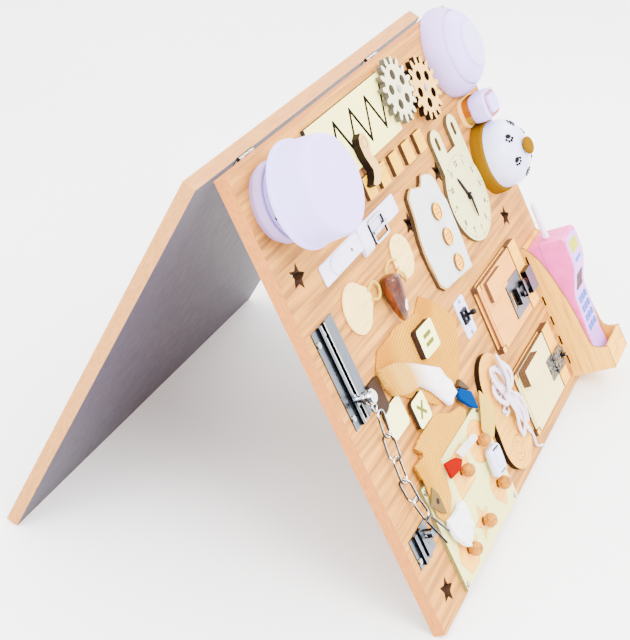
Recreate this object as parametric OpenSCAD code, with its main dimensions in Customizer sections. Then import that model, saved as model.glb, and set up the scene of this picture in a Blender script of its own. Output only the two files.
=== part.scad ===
// Folding wooden busy board: two boards joined along the top edge and stood
// up like an A-frame, the front one carrying toys and everyday fasteners.
// Millimetres, +Z up. Front board faces -Y. Origin: middle of the footprint,
// on the surface that the boards stand on.

/* [Boards] */
// Width of the front board, along the fold
board_w = 600; // [600:1:606]
// Height of each board, measured down its slope
board_h = 510; // [508:1:512]
// Thickness of each board
board_t = 14.4; // [14:0.1:15]
// Width of the back board
back_w = 585; // [580:1:590]
// How far the back board stands out past the front board's near end
back_shift = 25; // [22:1:28]
// Lean of each board from the vertical, open
lean = 27.8; // [26:0.1:29]

/* [Hinges] */
// Length of each hinge along the fold
hinge_w = 30; // [28:1:32]
// Depth of each leaf down the board
leaf_d = 22; // [20:1:24]
// Radius of the knuckles
knuckle_r = 2.3; // [2.2:0.05:2.35]

/* [Gears] */
// Teeth on each gear
gear_n = 16; // [16:1:16]
// Gear module
gear_m = 4.3; // [4.2:0.02:4.3]
// Thickness of the gears
gear_t = 7; // [6:0.5:7.5]

/* [Lamps] */
// Radius of the push lamp's base
lamp_r = 40.2; // [40:0.1:40.4]
// Radius of the flange on the push lamp's head
lamp_flange_r = 53; // [52:0.1:53.2]
// Radius of the round touch light
dome_r = 56; // [55.6:0.1:56.2]

/* [Dials and toys] */
// Radius of the clock face
clock_r = 55; // [54:0.1:55]
// Thickness of the painted plates
plate_t = 5; // [4.9:0.1:5]
// Side of a math tile
tile_w = 42; // [40:1:43]

/* [Hidden] */
$fn = 48;

gap = 5;                        // between the two inner top corners
pivot_up = gap / 2 * sin(lean); // pivot above each board's top edge
pivot_in = gap / 2 * cos(lean); // pivot in front of each inner face
cx = 287.5;
lip_v = 503;                    // foot and front of the phone holder: the part that reaches furthest forward
lip_h = 58;
cy = (gap + (board_h - lip_v) * sin(lean) - lip_h * cos(lean)) / 2;
cz = board_h * cos(lean);
hinge_u = [70, 391];

// Frame of the front board: x along the fold, -y down the slope, z out of the face
module onb() { translate([-cx, -cy, cz]) rotate([90 - lean, 0, 0]) translate([0, 0, board_t]) children(); }
// Frame of the back board: z out of its inner face
module onback() { translate([-cx, -cy + gap, cz]) rotate([90 + lean, 0, 0]) children(); }
module at(u, v, h = 0) { translate([u, -v, h]) children(); }
module rod(r, h) { cylinder(r = r, h = h); }
module slab(w, d, t) { translate([-w / 2, -d / 2, 0]) cube([w, d, t]); }
// Rounded rectangle from two bars and four discs, so that it stays exact
module round_slab(w, d, t, r) {
    union() {
        slab(w - 2 * r, d, t);
        slab(w, d - 2 * r, t);
        for (a = [-1, 1], b = [-1, 1]) translate([a * (w / 2 - r), b * (d / 2 - r), 0]) rod(r, t);
    }
}
module star2d(R, r, t = 90) { polygon([for (i = [0:9]) let (q = i % 2 == 0 ? R : r, a = t + i * 36) [q * cos(a), q * sin(a)]]); }
// A bar of width w between two points
module leg(p, q, w, t) {
    d = q - p; L = norm(d);
    translate([p[0], p[1], 0]) rotate([0, 0, atan2(d[1], d[0])]) translate([0, -w / 2, 0]) cube([L, w, t]);
}

stars = [[36, 119], [282, 169.5], [397, 151.5], [524, 264], [37, 481.5]];

// ---------------------------------------------------------------- pivots
gear_cd = gear_m * gear_n;
gw = [362.5, 40];
gear_dir = 16.9; // from the white gear to the wooden one, below the horizontal
gb = [gw[0] + gear_cd * cos(gear_dir), gw[1] + gear_cd * sin(gear_dir)];
gear_z = 7;
clock_c = [439, 202];
door1_hinge = [358, 331];
door2_hinge = [354, 446];
door_w = 114;   // hinge pin to the free edge
rail_a = 117;   // hinge pin to the rail
rail_b = 143;
door1_h = 88;
door2_h = 82;
door_axis_h = 6;
pivots = [[gw[0], gw[1]], [gb[0], gb[1]], clock_c];

// Screws: u, v, height of the underside of the head, radius of the head
screws = [
    [16, 184, 1.2, 3.2], [16, 265, 1.2, 3.2], [31, 179.5, 1.2, 3.2],
    [13.5, 430, 1.2, 3],
    [70, 500, 5, 3], [240, 500, 5, 3], [69, 386, 5, 3], [239, 386, 5, 3],
    [312.5, 283, 1.6, 2.2], [312.5, 322, 1.6, 2.2]];
lscrews = [[-9, 7], [9, 7], [0, 16]];

module front_board() {
    color("burlywood") onb() difference() {
        translate([0, -board_h, -board_t]) cube([board_w, board_h, board_t]);
        for (s = stars) at(s[0], s[1], -board_t - 1) linear_extrude(board_t + 2) star2d(14.5, 7, 66);
        for (s = screws) at(s[0], s[1], -10.05) rod(1.55, 11);
        for (p = pivots) at(p[0], p[1], -8.05) rod(3.05, 9);
        for (hu = hinge_u, s = lscrews) at(hu + s[0], s[1], -board_t - 1) rod(1.45, 9.1);
    }
}

module back_board() {
    color("burlywood") onback() difference() {
        translate([-back_shift, -board_h, -board_t]) cube([back_w, board_h, board_t]);
        for (hu = hinge_u, s = lscrews) at(hu + s[0], s[1], -8.05) rod(1.45, 9);
    }
}

// Thin hard sheet glued to the back board's inner face, cut out round the hinge leaves
module back_sheet() {
    color([0.6, 0.57, 0.64]) onback() difference() {
        translate([-back_shift, -board_h + 2, 0]) cube([back_w, board_h - 2, 0.6]);
        for (hu = hinge_u) translate([hu - hinge_w / 2 - 0.5, -leaf_d - 0.5, -1]) cube([hinge_w + 1, leaf_d + 2, 3]);
    }
}

// One leaf lying on an inner face. own: the knuckles of this leaf
module leaf(own, notch) {
    difference() {
        union() {
            translate([-hinge_w / 2, -leaf_d, 0]) cube([hinge_w, leaf_d - 1.6, 1.2]);
            for (k = own) translate([k[0], -1.7, 0]) cube([k[1] - k[0], 2.1, 1.2]);
            for (k = own) translate([k[0], pivot_up, pivot_in]) rotate([0, 90, 0]) rod(knuckle_r, k[1] - k[0]);
        }
        translate([-hinge_w, pivot_up, pivot_in]) rotate([0, 90, 0]) rod(1.25, 2 * hinge_w);
        for (s = lscrews) translate([s[0], -s[1], -1]) rod(1.5, 4);
        for (s = lscrews) translate([s[0], -s[1], 0.5]) rod(2.65, 4);
    }
}
k_out = [[-hinge_w / 2, -5.3], [5.3, hinge_w / 2]];
k_mid = [[-5, 5]];
module hinge_leaves_front() {
    color("silver") onb() for (hu = hinge_u) translate([hu, 0, -board_t]) mirror([0, 0, 1]) leaf(k_out);
}
module leaf_screws(z0, s0) {
    for (s = lscrews) translate([s[0], -s[1], 0]) union() {
        translate([0, 0, 0.5]) rod(2.6, 0.65);
        translate([0, 0, -8]) rod(1.4, 8.6);
    }
}
module hinge_leaves_back() {
    color("silver") onback() for (hu = hinge_u) translate([hu, 0, 0]) { leaf(k_mid); leaf_screws(); }
}
module steel_fasteners() {
    color("gainsboro") onb() {
        // hinge pins
        for (hu = hinge_u) translate([hu - hinge_w / 2, pivot_up, -board_t - pivot_in]) rotate([0, 90, 0]) rod(1.2, hinge_w);
        for (hu = hinge_u) translate([hu, 0, -board_t]) mirror([0, 0, 1]) leaf_screws();
        // board screws with a slotted head
        for (s = screws) at(s[0], s[1], 0) difference() {
            union() {
                translate([0, 0, -10]) rod(1.5, s[2] + 10.1);
                translate([0, 0, s[2]]) rod(s[3], 1.3);
            }
            translate([-s[3] - 1, -0.35, s[2] + 0.7]) cube([2 * s[3] + 2, 0.7, 2]);
        }
        // gear pins: a shoulder under the gear and a flat head over it
        for (p = [gw, gb]) at(p[0], p[1], 0) union() {
            translate([0, 0, -8]) rod(3, 9);
            rod(4.6, gear_z - 0.2);
            rod(3, gear_z + gear_t + 1);
            translate([0, 0, gear_z + gear_t + 0.25]) rod(4.2, 1.1);
        }
        // clock pin
        at(clock_c[0], clock_c[1], -8) rod(3, plate_t + 8.1);
        at(clock_c[0], clock_c[1], plate_t) rod(1.6, 5.2);
        at(clock_c[0], clock_c[1], plate_t + 4.5) rod(3.1, 1);
        // door pins
        at(door1_hinge[0], door1_hinge[1] + door1_h / 2 - 2, door_axis_h) rotate([-90, 0, 0]) rod(1.5, door1_h - 4);
        at(door2_hinge[0], door2_hinge[1] + door2_h / 2 - 2, door_axis_h) rotate([-90, 0, 0]) rod(1.5, door2_h - 4);
    }
}

// ---------------------------------------------------------------- lamps
lc = [51, 48.3];
module lamp_base() {
    color("lavender") onb() at(lc[0], lc[1]) rotate_extrude($fn = 96)
        polygon([[0, 0], [37, 0], [37, 5.5], [lamp_r, 5.5], [lamp_r, 16], [36.2, 16], [36.2, 3], [0, 3]]);
}
module lamp_cap() {
    color("ghostwhite") onb() at(lc[0], lc[1]) rotate_extrude($fn = 96)
        polygon([[0, 73.5], [43, 73.5], [46, 72.5], [48, 70.6], [49, 68], [50, 36.6], [lamp_flange_r - 0.6, 36.6], [lamp_flange_r, 36],
            [lamp_flange_r, 31.6], [lamp_flange_r - 0.6, 31], [35.6, 31], [35.6, 6], [33, 6], [33, 34], [47.4, 34.5], [46.6, 67.5], [44.5, 70], [0, 70.6]]);
}
dc = [541, 48];
module dome_base() {
    color("lavender") onb() at(dc[0], dc[1]) rotate_extrude($fn = 96) polygon([[0, 0], [dome_r - 1, 0], [dome_r, 1], [dome_r, 9],
        [dome_r - 1.2, 15], [dome_r - 4, 21], [dome_r - 8, 25.6], [46.3, 26.6], [46.3, 23.5], [47, 23.4], [50, 19], [dome_r - 3, 13.5], [dome_r - 2.6, 9], [dome_r - 2.6, 2.6], [0, 2.6]]);
}
module dome_lens() {
    color("lavender") onb() at(dc[0], dc[1]) rotate_extrude($fn = 96) polygon([[0, 46.5], [12, 45.8], [24, 43.6], [34, 39.6], [41, 34.6], [45, 30.6], [46, 28.6],
        [46, 14], [44, 14], [44, 28], [42.6, 30], [33, 36.6], [23, 40.6], [11, 43], [0, 43.8]]);
}

// ---------------------------------------------------------------- zigzag maze
zz = [for (i = [0:7]) [189 + i * 21.4, i % 2 == 0 ? -66 : -24]];
module zz_path(w, t) {
    for (i = [0:6]) leg(zz[i], zz[i + 1], w, t);
    for (p = zz) translate([p[0], p[1], 0]) rod(w / 2 + 0.12, t);
}
zp = [150, 350, 10.5, 81];
module zigzag_plate() {
    color("ivory") onb() difference() {
        translate([zp[0], -zp[3], 0]) cube([zp[1] - zp[0], zp[3] - zp[2], plate_t]);
        translate([0, 0, -0.01]) zz_path(10.4, 2.21);
        zz_path(4.6, plate_t + 1);
    }
}
// The slider sits at the foot of the third leg
zs = zz[2];
module slider2d() {
    polygon([[237.5, -48], [230, -51.5], [226, -58.7], [226, -70.7], [229, -80], [231.6, -88.5], [227, -95], [219.3, -100.5], [224, -104], [233, -104.5],
        [242, -100], [247, -92], [247, -84], [242, -75], [242, -70], [246, -66], [246.5, -56], [243, -50]]);
}
module zigzag_slider() {
    color("saddlebrown") onb() union() {
        translate([zs[0], zs[1], 0.3]) rod(4.6, 1.5);
        translate([zs[0], zs[1], 0.3]) rod(2, 6);
        difference() {
            translate([0, 0, 5.4]) linear_extrude(9) slider2d();
            at(237.4, 58.8, 13.9) difference() { rod(6.4, 2); translate([0, 0, -1]) rod(5.6, 5); }
        }
    }
}

// ---------------------------------------------------------------- gears
function inv(a) = tan(a) * 180 / PI - a;
rp = gear_m * gear_n / 2;
rbase = rp * cos(20);
ro = rp + 0.88 * gear_m;
rr = rp - 1.15 * gear_m;
// Half the angle of a tooth at radius r, with a little backlash
function half(r) = 90 / gear_n * 0.93 + inv(20) - inv(acos(min(1, rbase / r)));
function flank(k) = [for (i = [0:4]) rbase + 0.02 + (ro - rbase - 0.02) * i / 4];
module gear2d() {
    polygon([for (t = [0:gear_n - 1]) let (c = t * 360 / gear_n, f = flank(0))
        each concat(
            [[rr * cos(c - 0.92 * half(f[0])), rr * sin(c - 0.92 * half(f[0]))]],
            [for (i = [0:4]) [f[i] * cos(c - half(f[i])), f[i] * sin(c - half(f[i]))]],
            [for (i = [4:-1:0]) [f[i] * cos(c + half(f[i])), f[i] * sin(c + half(f[i]))]],
            [[rr * cos(c + 0.92 * half(f[0])), rr * sin(c + 0.92 * half(f[0]))]])]);
}
module gear_body(phase, holes_at) {
    difference() {
        rotate([0, 0, phase]) linear_extrude(gear_t) gear2d();
        translate([0, 0, -1]) rod(3.05, gear_t + 2);
        for (i = [0:4]) rotate([0, 0, holes_at + 72 * i]) translate([17.8, 0, -1]) rod(6, gear_t + 2);
    }
}
ga = -gear_dir;
module gear_white() { color("ivory") onb() at(gw[0], gw[1], gear_z) gear_body(ga, 20); }
module gear_wood() { color("peru") onb() at(gb[0], gb[1], gear_z) gear_body(ga + 180 + 180 / gear_n, 36); }

// ---------------------------------------------------------------- blocks, straps, toggle
module letter_blocks() {
    color("peru") onb() for (i = [0:4]) translate([217 + 37.6 * i, -115.5 - 0.8 * i, 0]) cube([22, 24.5, 5]);
}
module leather_straps() {
    color("whitesmoke") onb() {
        union() {
            translate([73, -149.5, 0]) cube([197, 22.5, 2.2]);
            translate([102, -148.5, 2.2]) cube([112, 20.5, 2]);
            translate([102, -138.25, 2.2]) rod(10.25, 2);
            translate([0, 0, 2.2]) linear_extrude(2) polygon([[213, -148.4], [213, -128.1], [216, -131], [218, -138.2], [216, -145.5]]);
        }
        difference() {
            translate([162, -157, 0]) cube([22, 32.5, 6.6]);
            translate([161, -155.3, -1]) cube([24, 29.1, 5.9]);
        }
    }
}
bf = [205.5, 142.5];
bar_w = 3.3;
prong_u = 16.85; // middle of the right-hand bar
module buckle_frame() {
    color("silver") onb() at(bf[0], bf[1], 4.5) difference() {
        round_slab(37, 27, 2.8, 4);
        translate([0, 0, -1]) slab(37 - 2 * bar_w, 27 - 2 * bar_w, 5);
    }
}
// The prong turns on the right-hand bar and rests on the left-hand one
module buckle_prong() {
    color("silver") onb() at(bf[0], bf[1], 0) union() {
        difference() {
            translate([prong_u, 2, 5.9]) rotate([90, 0, 0]) rod(3.4, 4);
            translate([prong_u, 3, 5.9]) rotate([90, 0, 0]) rod(2.25, 6);
        }
        translate([-17, -1.5, 7.5]) cube([prong_u + 15, 3, 1.7]);
    }
}
module toggle_patches() {
    color("wheat") onb() {
        union() {
            at(106, 189, 0) rod(27, 3);
            linear_extrude(3) polygon([[106, -162], [140, -178], [142, -196], [124, -210]]);
        }
        union() {
            at(233, 188, 0) rod(25, 3);
            linear_extrude(3) polygon([[233, -163], [209, -180], [200, -196], [211, -201], [222, -210]]);
        }
        // cord loops that hold the toggle
        difference() {
            at(172, 189, 3.2) round_slab(76, 17, 3, 8);
            at(172, 189, 2) round_slab(68, 9, 6, 4);
            translate([156, -203, 0]) cube([26, 30, 9]);
        }
    }
}
module horn_toggle() {
    color("sienna") onb() translate([169, -184, 13]) rotate([93, 0, 0]) rotate_extrude() polygon([[0, 0], [8.5, 0], [11, 2.5], [11.5, 14], [10, 30], [6, 47], [3.5, 52], [0, 53]]);
}

// ---------------------------------------------------------------- clothes plate and clock
vest_pts = [[289, -258], [279, -249], [275.5, -206], [279, -189], [287, -168], [292, -144.5], [300, -140], [308, -138], [319, -142], [330, -145], [336, -142],
    [342, -136], [352, -137], [366, -143], [372, -152], [374, -168], [379, -182], [377, -230], [372, -267]];
vest_mid = [328, -202];
module vest_plate() { color("tan") onb() linear_extrude(plate_t) polygon(vest_pts); }
module vest_cloth() {
    color("aliceblue") onb() translate([0, 0, plate_t]) linear_extrude(1.6) polygon([for (p = vest_pts) vest_mid + 0.93 * (p - vest_mid)]);
}
module vest_buttons() {
    color("burlywood") onb() for (v = [181, 213, 246]) at(339, v, plate_t + 1.6) difference() {
        union() { rod(10.5, 2.2); difference() { rod(10.5, 3.4); rod(8.2, 4); } }
        for (a = [-1, 1], b = [-1, 1]) translate([a * 2.4, b * 2.4, -1]) rod(1.1, 6);
    }
}
module ear(u, v) {
    // one long rounded ear with an oval finger slot
    at(u, v, 0) difference() {
        union() { translate([0, 16, 0]) rod(14.5, plate_t); translate([-14.5, -36, 0]) cube([29, 52, plate_t]); }
        for (y = [8, 17]) translate([0, y, -1]) rod(4, plate_t + 2);
        translate([-4, 8, -1]) cube([8, 9, plate_t + 2]);
    }
}
module clock_plate() {
    color("ivory") onb() difference() {
        union() {
            at(clock_c[0], clock_c[1], 0) rod(clock_r, plate_t);
            ear(416.5, 138);
            ear(474, 138);
            translate([404, -178, 0]) cube([84, 24, plate_t]);
            translate([430, -155, 0]) cube([32, 12, plate_t]);
        }
        at(clock_c[0], clock_c[1], -1) rod(3.1, 9);
    }
}
module hand(L, w, z) {
    at(clock_c[0], clock_c[1], z) difference() {
        union() { rod(4.6, 1.5); linear_extrude(1.5) polygon([[-w / 2, 0], [w / 2, 0], [w / 2.6, L - 6], [0, L], [-w / 2.6, L - 6]]); }
        translate([0, 0, -1]) rod(1.65, 4);
    }
}
module hour_hand() { color("#3a2418") onb() translate([clock_c[0], -clock_c[1], 0]) rotate([0, 0, 24]) translate([-clock_c[0], clock_c[1], 0]) hand(31, 5, plate_t + 0.3); }
module minute_hand() { color("#3a2418") onb() translate([clock_c[0], -clock_c[1], 0]) rotate([0, 0, 176]) translate([-clock_c[0], clock_c[1], 0]) hand(27, 4, plate_t + 2.3); }

// ---------------------------------------------------------------- push button and bell
pc = [541, 124.6];
module press_base() {
    color("darkorange") onb() at(pc[0], pc[1], 0) difference() {
        union() { round_slab(52, 37.6, 4, 14); translate([0, 0, 4]) round_slab(46, 32, 10, 12); }
        translate([0, 0, 3]) round_slab(40, 26.5, 14, 10);
    }
}
module press_cap() {
    color("white") onb() at(pc[0], pc[1], 14) difference() {
        round_slab(48, 34, 20.2, 12);
        translate([0, 0, -1]) round_slab(43, 29, 18.7, 10);
        translate([0, 0, 10]) round_slab(27.4, 22.4, 14, 7);
    }
}
module press_button() {
    color("white") onb() at(pc[0], pc[1], 0) union() {
        translate([0, 0, 22]) round_slab(26.6, 21.6, 15.5, 6.6);
        translate([0, 0, 20]) round_slab(36, 26, 3, 9);
    }
}
bc = [544, 190.5];
module bell_ring() {
    color("gold") onb() at(bc[0], bc[1], 0) rotate_extrude($fn = 96) polygon([[0, 0], [47, 0], [47, 5], [46.2, 14], [44.9, 16], [43, 16], [43, 3], [0, 3]]);
}
module bell_dome() {
    color("ghostwhite") onb() at(bc[0], bc[1], 0) rotate_extrude($fn = 96) polygon([[42.7, 3], [42.7, 22], [41.5, 30], [37.5, 38], [30, 45], [20, 49.4], [8, 51], [5.1, 51],
        [5.1, 49.2], [8, 49.2], [19.4, 47.6], [28.8, 43.4], [36, 36.8], [39.7, 29.4], [40.9, 22], [40.9, 3]]);
}
module bell_button() {
    color("gold") onb() at(bc[0], bc[1], 0) rotate_extrude($fn = 64) polygon([[0, 30], [3, 30], [3, 28], [8, 28], [8, 25], [0, 25], [0, 60.5], [8, 60.2], [10.4, 59], [11, 57], [11, 54.6], [10, 53.6], [5, 53.4], [5, 30]]);
}

// ---------------------------------------------------------------- door chain
module chain_plates() {
    color("silver") onb() {
        // rail: a screwed flange and a raised channel with an open slot between two lips
        difference() {
            union() {
                translate([12, -277, 0]) cube([47, 107, 1.2]);
                translate([24.75, -277, 0]) cube([16.5, 107, 4.2]);
            }
            translate([26.2, -278, 1.2]) cube([13.6, 109, 2]);
            translate([30, -278, 2]) cube([6, 109, 5]);
            for (i = [0:2]) at(screws[i][0], screws[i][1], -1) rod(1.6, 9);
            at(screws[2][0], screws[2][1], 2) rod(3.6, 9);
        }
        // anchor plate with a boss that holds a triangular ring
        union() {
            difference() {
                union() {
                    translate([10, -438, 0]) cube([42, 33, 1.2]);
                    translate([19, -438, 0]) cube([16.5, 33, 4.2]);
                }
                translate([20.5, -439, 1.2]) cube([13.5, 35, 2]);
                translate([24.2, -439, 2]) cube([6, 35, 5]);
                at(screws[3][0], screws[3][1], -1) rod(1.6, 9);
            }
            at(42, 416.5, 0) rod(5, 12);
            for (i = [0:3]) let (p = tri[i], q = tri[(i + 1) % 4], d = q - p) at(p[0], -p[1], 12.2) {
                rotate([0, 0, atan2(d[1], d[0])]) rotate([0, 90, 0]) rod(1.3, norm(d));
                sphere(r = 1.3);
            }
        }
    }
}
tri = [[49, -401], [69, -433], [56, -438], [39, -401]];
sl_at = [33, 254];
module chain_slider() {
    color("silver") onb() at(sl_at[0], sl_at[1], 0) union() {
        translate([0, 0, 1.5]) rod(6, 1.4);
        translate([0, 0, 1.5]) rod(2.6, 18);
        translate([0, 0, 4.6]) rod(4, 6.4);
        translate([0, 0, 11]) rod(7, 4);
        translate([0, 0, 15]) rod(4.4, 3);
        translate([0, 0, 17.6]) rod(7.8, 2.8);
        translate([0, 0, 20.4]) rod(6.2, 2);
        // arm with an eye that leads to the chain
        rotate([0, 0, atan2(-16, 10.5)]) translate([3, -1.6, 9]) cube([12, 3.2, 2.4]);
        translate([10.5, -16, 10.2]) rotate_extrude() translate([4.2, 0]) circle(r = 1.3);
    }
}
// Chain links: stadiums of round wire, flat and on edge in turn, each along the line between its neighbours
chain_at = [[48.6, -291.4], [43.2, -315.5], [39.8, -339.8], [37.9, -363.4], [44.9, -388.4]];
module link(p, a, turned, L = 31, w = 15, r = 1.25) {
    s = (L - w) / 2; q = w / 2 - r;
    translate([p[0], p[1], 9]) rotate([0, 0, a]) rotate([0, turned ? 90 : 0, 0]) union() {
        for (b = [-1, 1]) translate([b * q, s, 0]) rotate([90, 0, 0]) cylinder(r = r, h = 2 * s, $fn = 16);
        for (b = [0, 180]) rotate([0, 0, b]) translate([0, s, 0]) rotate_extrude(angle = 180, $fn = 24) translate([q, 0]) circle(r = r, $fn = 16);
    }
}
module chain_links() {
    color("silver") onb() for (i = [0:4]) let (d = chain_at[min(i + 1, 4)] - chain_at[max(i - 1, 0)]) link(chain_at[i], atan2(d[0], -d[1]), i % 2 == 1);
}

// ---------------------------------------------------------------- cloth pieces
module woven_pads() {
    color("tan") onb() {
        // woven squares with bound corners
        linear_extrude(3) polygon([[83, -255], [105, -238], [161, -236], [207, -245], [231, -235], [257, -254], [290, -292], [265, -323], [235, -346], [205, -342], [172, -341],
            [118, -300], [107, -284], [85, -271]]);
        translate([0, 0, 6.6]) linear_extrude(2.8) polygon([[150, -338], [102, -338], [82, -341], [95, -356], [68, -353], [71, -376], [66.5, -416], [83, -433], [110, -416], [118, -387],
            [120, -377], [205, -377], [213, -371], [203, -360], [176, -353]]);
        // long padded band that lies over them
        translate([0, 0, 3.4]) linear_extrude(10.6) polygon([[83, -249], [121, -260], [154, -280], [194, -306], [207, -332], [207, -346], [186, -350], [165, -320], [146, -302.5],
            [118, -297], [92, -284], [83, -268]]);
        // folded corner beside the blue cap
        translate([0, 0, 4]) linear_extrude(4) polygon([[220.5, -345], [229, -340], [240, -357], [238.5, -359.6], [227, -351]]);
        // short ribbon
        translate([0, 0, 9.8]) linear_extrude(2) polygon([[149, -387.5], [196, -393], [206, -399], [204, -404], [158, -399.5]]);
    }
}
module end_caps() {
    color("dodgerblue") onb() translate([0, 0, 5.3]) linear_extrude(5) polygon([[209, -348.5], [217, -346], [226, -353], [237, -361], [237, -383], [223, -373], [208, -355]]);
    color("orangered") onb() translate([0, 0, 9.8]) linear_extrude(4) polygon([[116, -381], [141, -389], [152, -398], [141, -404], [116, -400]]);
}
module math_tiles() {
    color("ivory") onb() {
        at(198, 273, 3.3) rotate([0, 0, -3]) round_slab(tile_w, 33, 7, 4);
        at(128, 321, 3.3) round_slab(32, 31.6, 4.4, 4);
        at(70.7, 270, 0) slab(21.4, 33, 4.2);
        at(85, 304.4, 0) round_slab(42, 34, 3, 6);
    }
}
sw = [309.5, 300.5];
sw_h = 3.4;
module switch_plate() {
    color("white") onb() difference() {
        union() { at(312.5, 302.5, 0) round_slab(28, 47, 1.6, 3); at(sw[0], sw[1], 0) slab(14, 17, 5); }
        at(sw[0], sw[1], 1) slab(9, 12, 9);
        at(sw[0] - 6.2, sw[1], sw_h) rotate([0, 90, 0]) rod(1.05, 12.4);
        for (i = [8, 9]) at(screws[i][0], screws[i][1], -1) rod(1.6, 9);
    }
}
// The lever leans a little up the slope and flips down it
module switch_lever() {
    color("#151515") onb() at(sw[0], sw[1], sw_h) rotate([-13, 0, 0]) union() {
        translate([-4, 0, 0]) rotate([0, 90, 0]) rod(2.1, 8);
        translate([-6, 0, 0]) rotate([0, 90, 0]) rod(1, 12);
        rod(2.1, 11);
        translate([0, 0, 9.4]) rod(3.2, 4.6);
    }
}

// ---------------------------------------------------------------- shoe, strap, buckles
module shoe2d() { hull() { translate([301, -384]) circle(r = 34, $fn = 64); translate([300, -454.5]) circle(r = 41, $fn = 64); } }
eyelets = [for (i = [0:3], s = [-1, 1]) [303 + s * 8 - i * 1.5, 380 + i * 13]];
module shoe_plate() {
    color("burlywood") onb() difference() {
        linear_extrude(7) shoe2d();
        for (e = eyelets) at(e[0], e[1], -1) rod(2.2, 9);
    }
}
// Lace: leaves the last eyelet, loops over the bunch and runs to the plate's lower right
lace_pts = [[306, -410, 9], [309, -404, 15], [316, -396, 17], [321, -386, 14], [318, -375, 11], [309, -370, 10], [301, -377, 11], [300, -390, 15], [306, -402, 20],
    [314, -412, 19], [320, -425, 14], [324, -440, 11], [328, -455, 10], [331, -466, 9.6], [334.5, -476, 9.4], [339, -486, 6.4], [344, -495, 3.4], [351, -501, 2.6], [360, -505, 2.6]];
function unit(a) = a / norm(a);
function tangent(P, i) = unit(P[min(i + 1, len(P) - 1)] - P[max(i - 1, 0)]);
function side(t) = unit(cross(t, abs(t[2]) > 0.9 ? [1, 0, 0] : [0, 0, 1]));
function ring(P, i, r, n) = let (t = tangent(P, i), a = side(t), b = cross(t, a)) [for (k = [0:n - 1]) P[i] + r * cos(360 * k / n) * a + r * sin(360 * k / n) * b];
module tube(P, r, n = 8) {
    m = len(P);
    polyhedron(
        points = [for (i = [0:m - 1]) each ring(P, i, r, n)],
        faces = concat([[for (k = [n - 1:-1:0]) k]], [[for (k = [0:n - 1]) (m - 1) * n + k]],
            [for (i = [0:m - 2], k = [0:n - 1]) let (a = i * n + k, b = i * n + (k + 1) % n) each [[a, b, b + n], [a, b + n, a + n]]]));
}
// Smooth points between the chosen ones
function cr(p0, p1, p2, p3, t) = 0.5 * ((2 * p1) + (p2 - p0) * t + (2 * p0 - 5 * p1 + 4 * p2 - p3) * t * t + (3 * p1 - p0 - 3 * p2 + p3) * t * t * t);
function smooth_path(P, s) = let (m = len(P)) concat([for (i = [0:m - 2], j = [0:s - 1]) cr(P[max(i - 1, 0)], P[i], P[i + 1], P[min(i + 2, m - 1)], j / s)], [P[m - 1]]);
module shoe_lace() { color("white") onb() tube(smooth_path(lace_pts, 4), 1.6); }
module elastic_strap() {
    color("wheat") onb() {
        translate([0, 0, 9.8]) linear_extrude(1.8) polygon([[253, -369], [264, -385], [271, -406], [240, -424], [223, -416], [222.5, -403], [234, -391]]);
        // short tongue with an eyelet
        translate([0, 0, 9.7]) linear_extrude(1) difference() {
            polygon([[77, -384], [84, -398], [83, -421], [73, -414], [60, -397]]);
            translate([75, -403]) circle(r = 3.2);
        }
    }
}
module side_buckles() {
    color("white") onb() {
        translate([218, -440.4, 9.8]) rotate([0, 0, -8]) union() { round_slab(27, 34, 8.6, 5); translate([0, -2, 8.6]) round_slab(17, 20, 2.2, 5); }
        translate([0, 0, 9.8]) linear_extrude(6) polygon([[96, -427], [118, -424], [120, -430], [113, -458], [108, -463], [92, -470], [86, -466], [72, -446], [70, -424], [74, -423.6]]);
    }
}

// ---------------------------------------------------------------- doors
// Frame: base plate, right-hand rail with a gap for the door, two hinge lugs
module door_frame(hg, dh) {
    at(hg[0], hg[1], 0) difference() {
        union() {
            translate([-6, -dh / 2, 0]) cube([rail_b + 6, dh, 3]);
            translate([rail_a, -dh / 2, 3]) cube([rail_b - rail_a, dh, 6.5]);
            for (s = [-1, 1]) translate([-6, s * (dh / 2 - 3.5) - 3.5, 0]) cube([9, 7, 9.5]);
        }
        translate([0, -dh, door_axis_h]) rotate([-90, 0, 0]) rod(1.5, 2 * dh);
    }
}
module door_frames() {
    color("burlywood") onb() { door_frame(door1_hinge, door1_h); door_frame(door2_hinge, door2_h); }
}
// Door: the panel, its rounded hinge edge with the pin bore, and a bare name block
module door_panel(hg, dh, lu, lv, lw, lh, lt) {
    at(hg[0], hg[1], 0) difference() {
        union() {
            translate([0, -dh / 2 + 7.4, door_axis_h]) rotate([-90, 0, 0]) rod(2.8, dh - 14.8);
            translate([0, -dh / 2 + 7.4, 3.5]) cube([7, dh - 14.8, 6]);
            translate([5.8, -dh / 2 + 1, 3.5]) cube([door_w - 5.8, dh - 2, 6]);
            translate([lu, lv - lh, 9.5]) cube([lw, lh, lt]);
        }
        translate([0, -dh, door_axis_h]) rotate([-90, 0, 0]) rod(1.55, 2 * dh);
    }
}
module door_one() { color("bisque") onb() door_panel(door1_hinge, door1_h, 11.5, 40.5, 52.5, 25.5, 5.5); }
module door_two() { color("ivory") onb() door_panel(door2_hinge, door2_h, 6.5, 39.5, 54.5, 21, 10.5); }
l1 = [445.5, 340.5];
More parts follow.
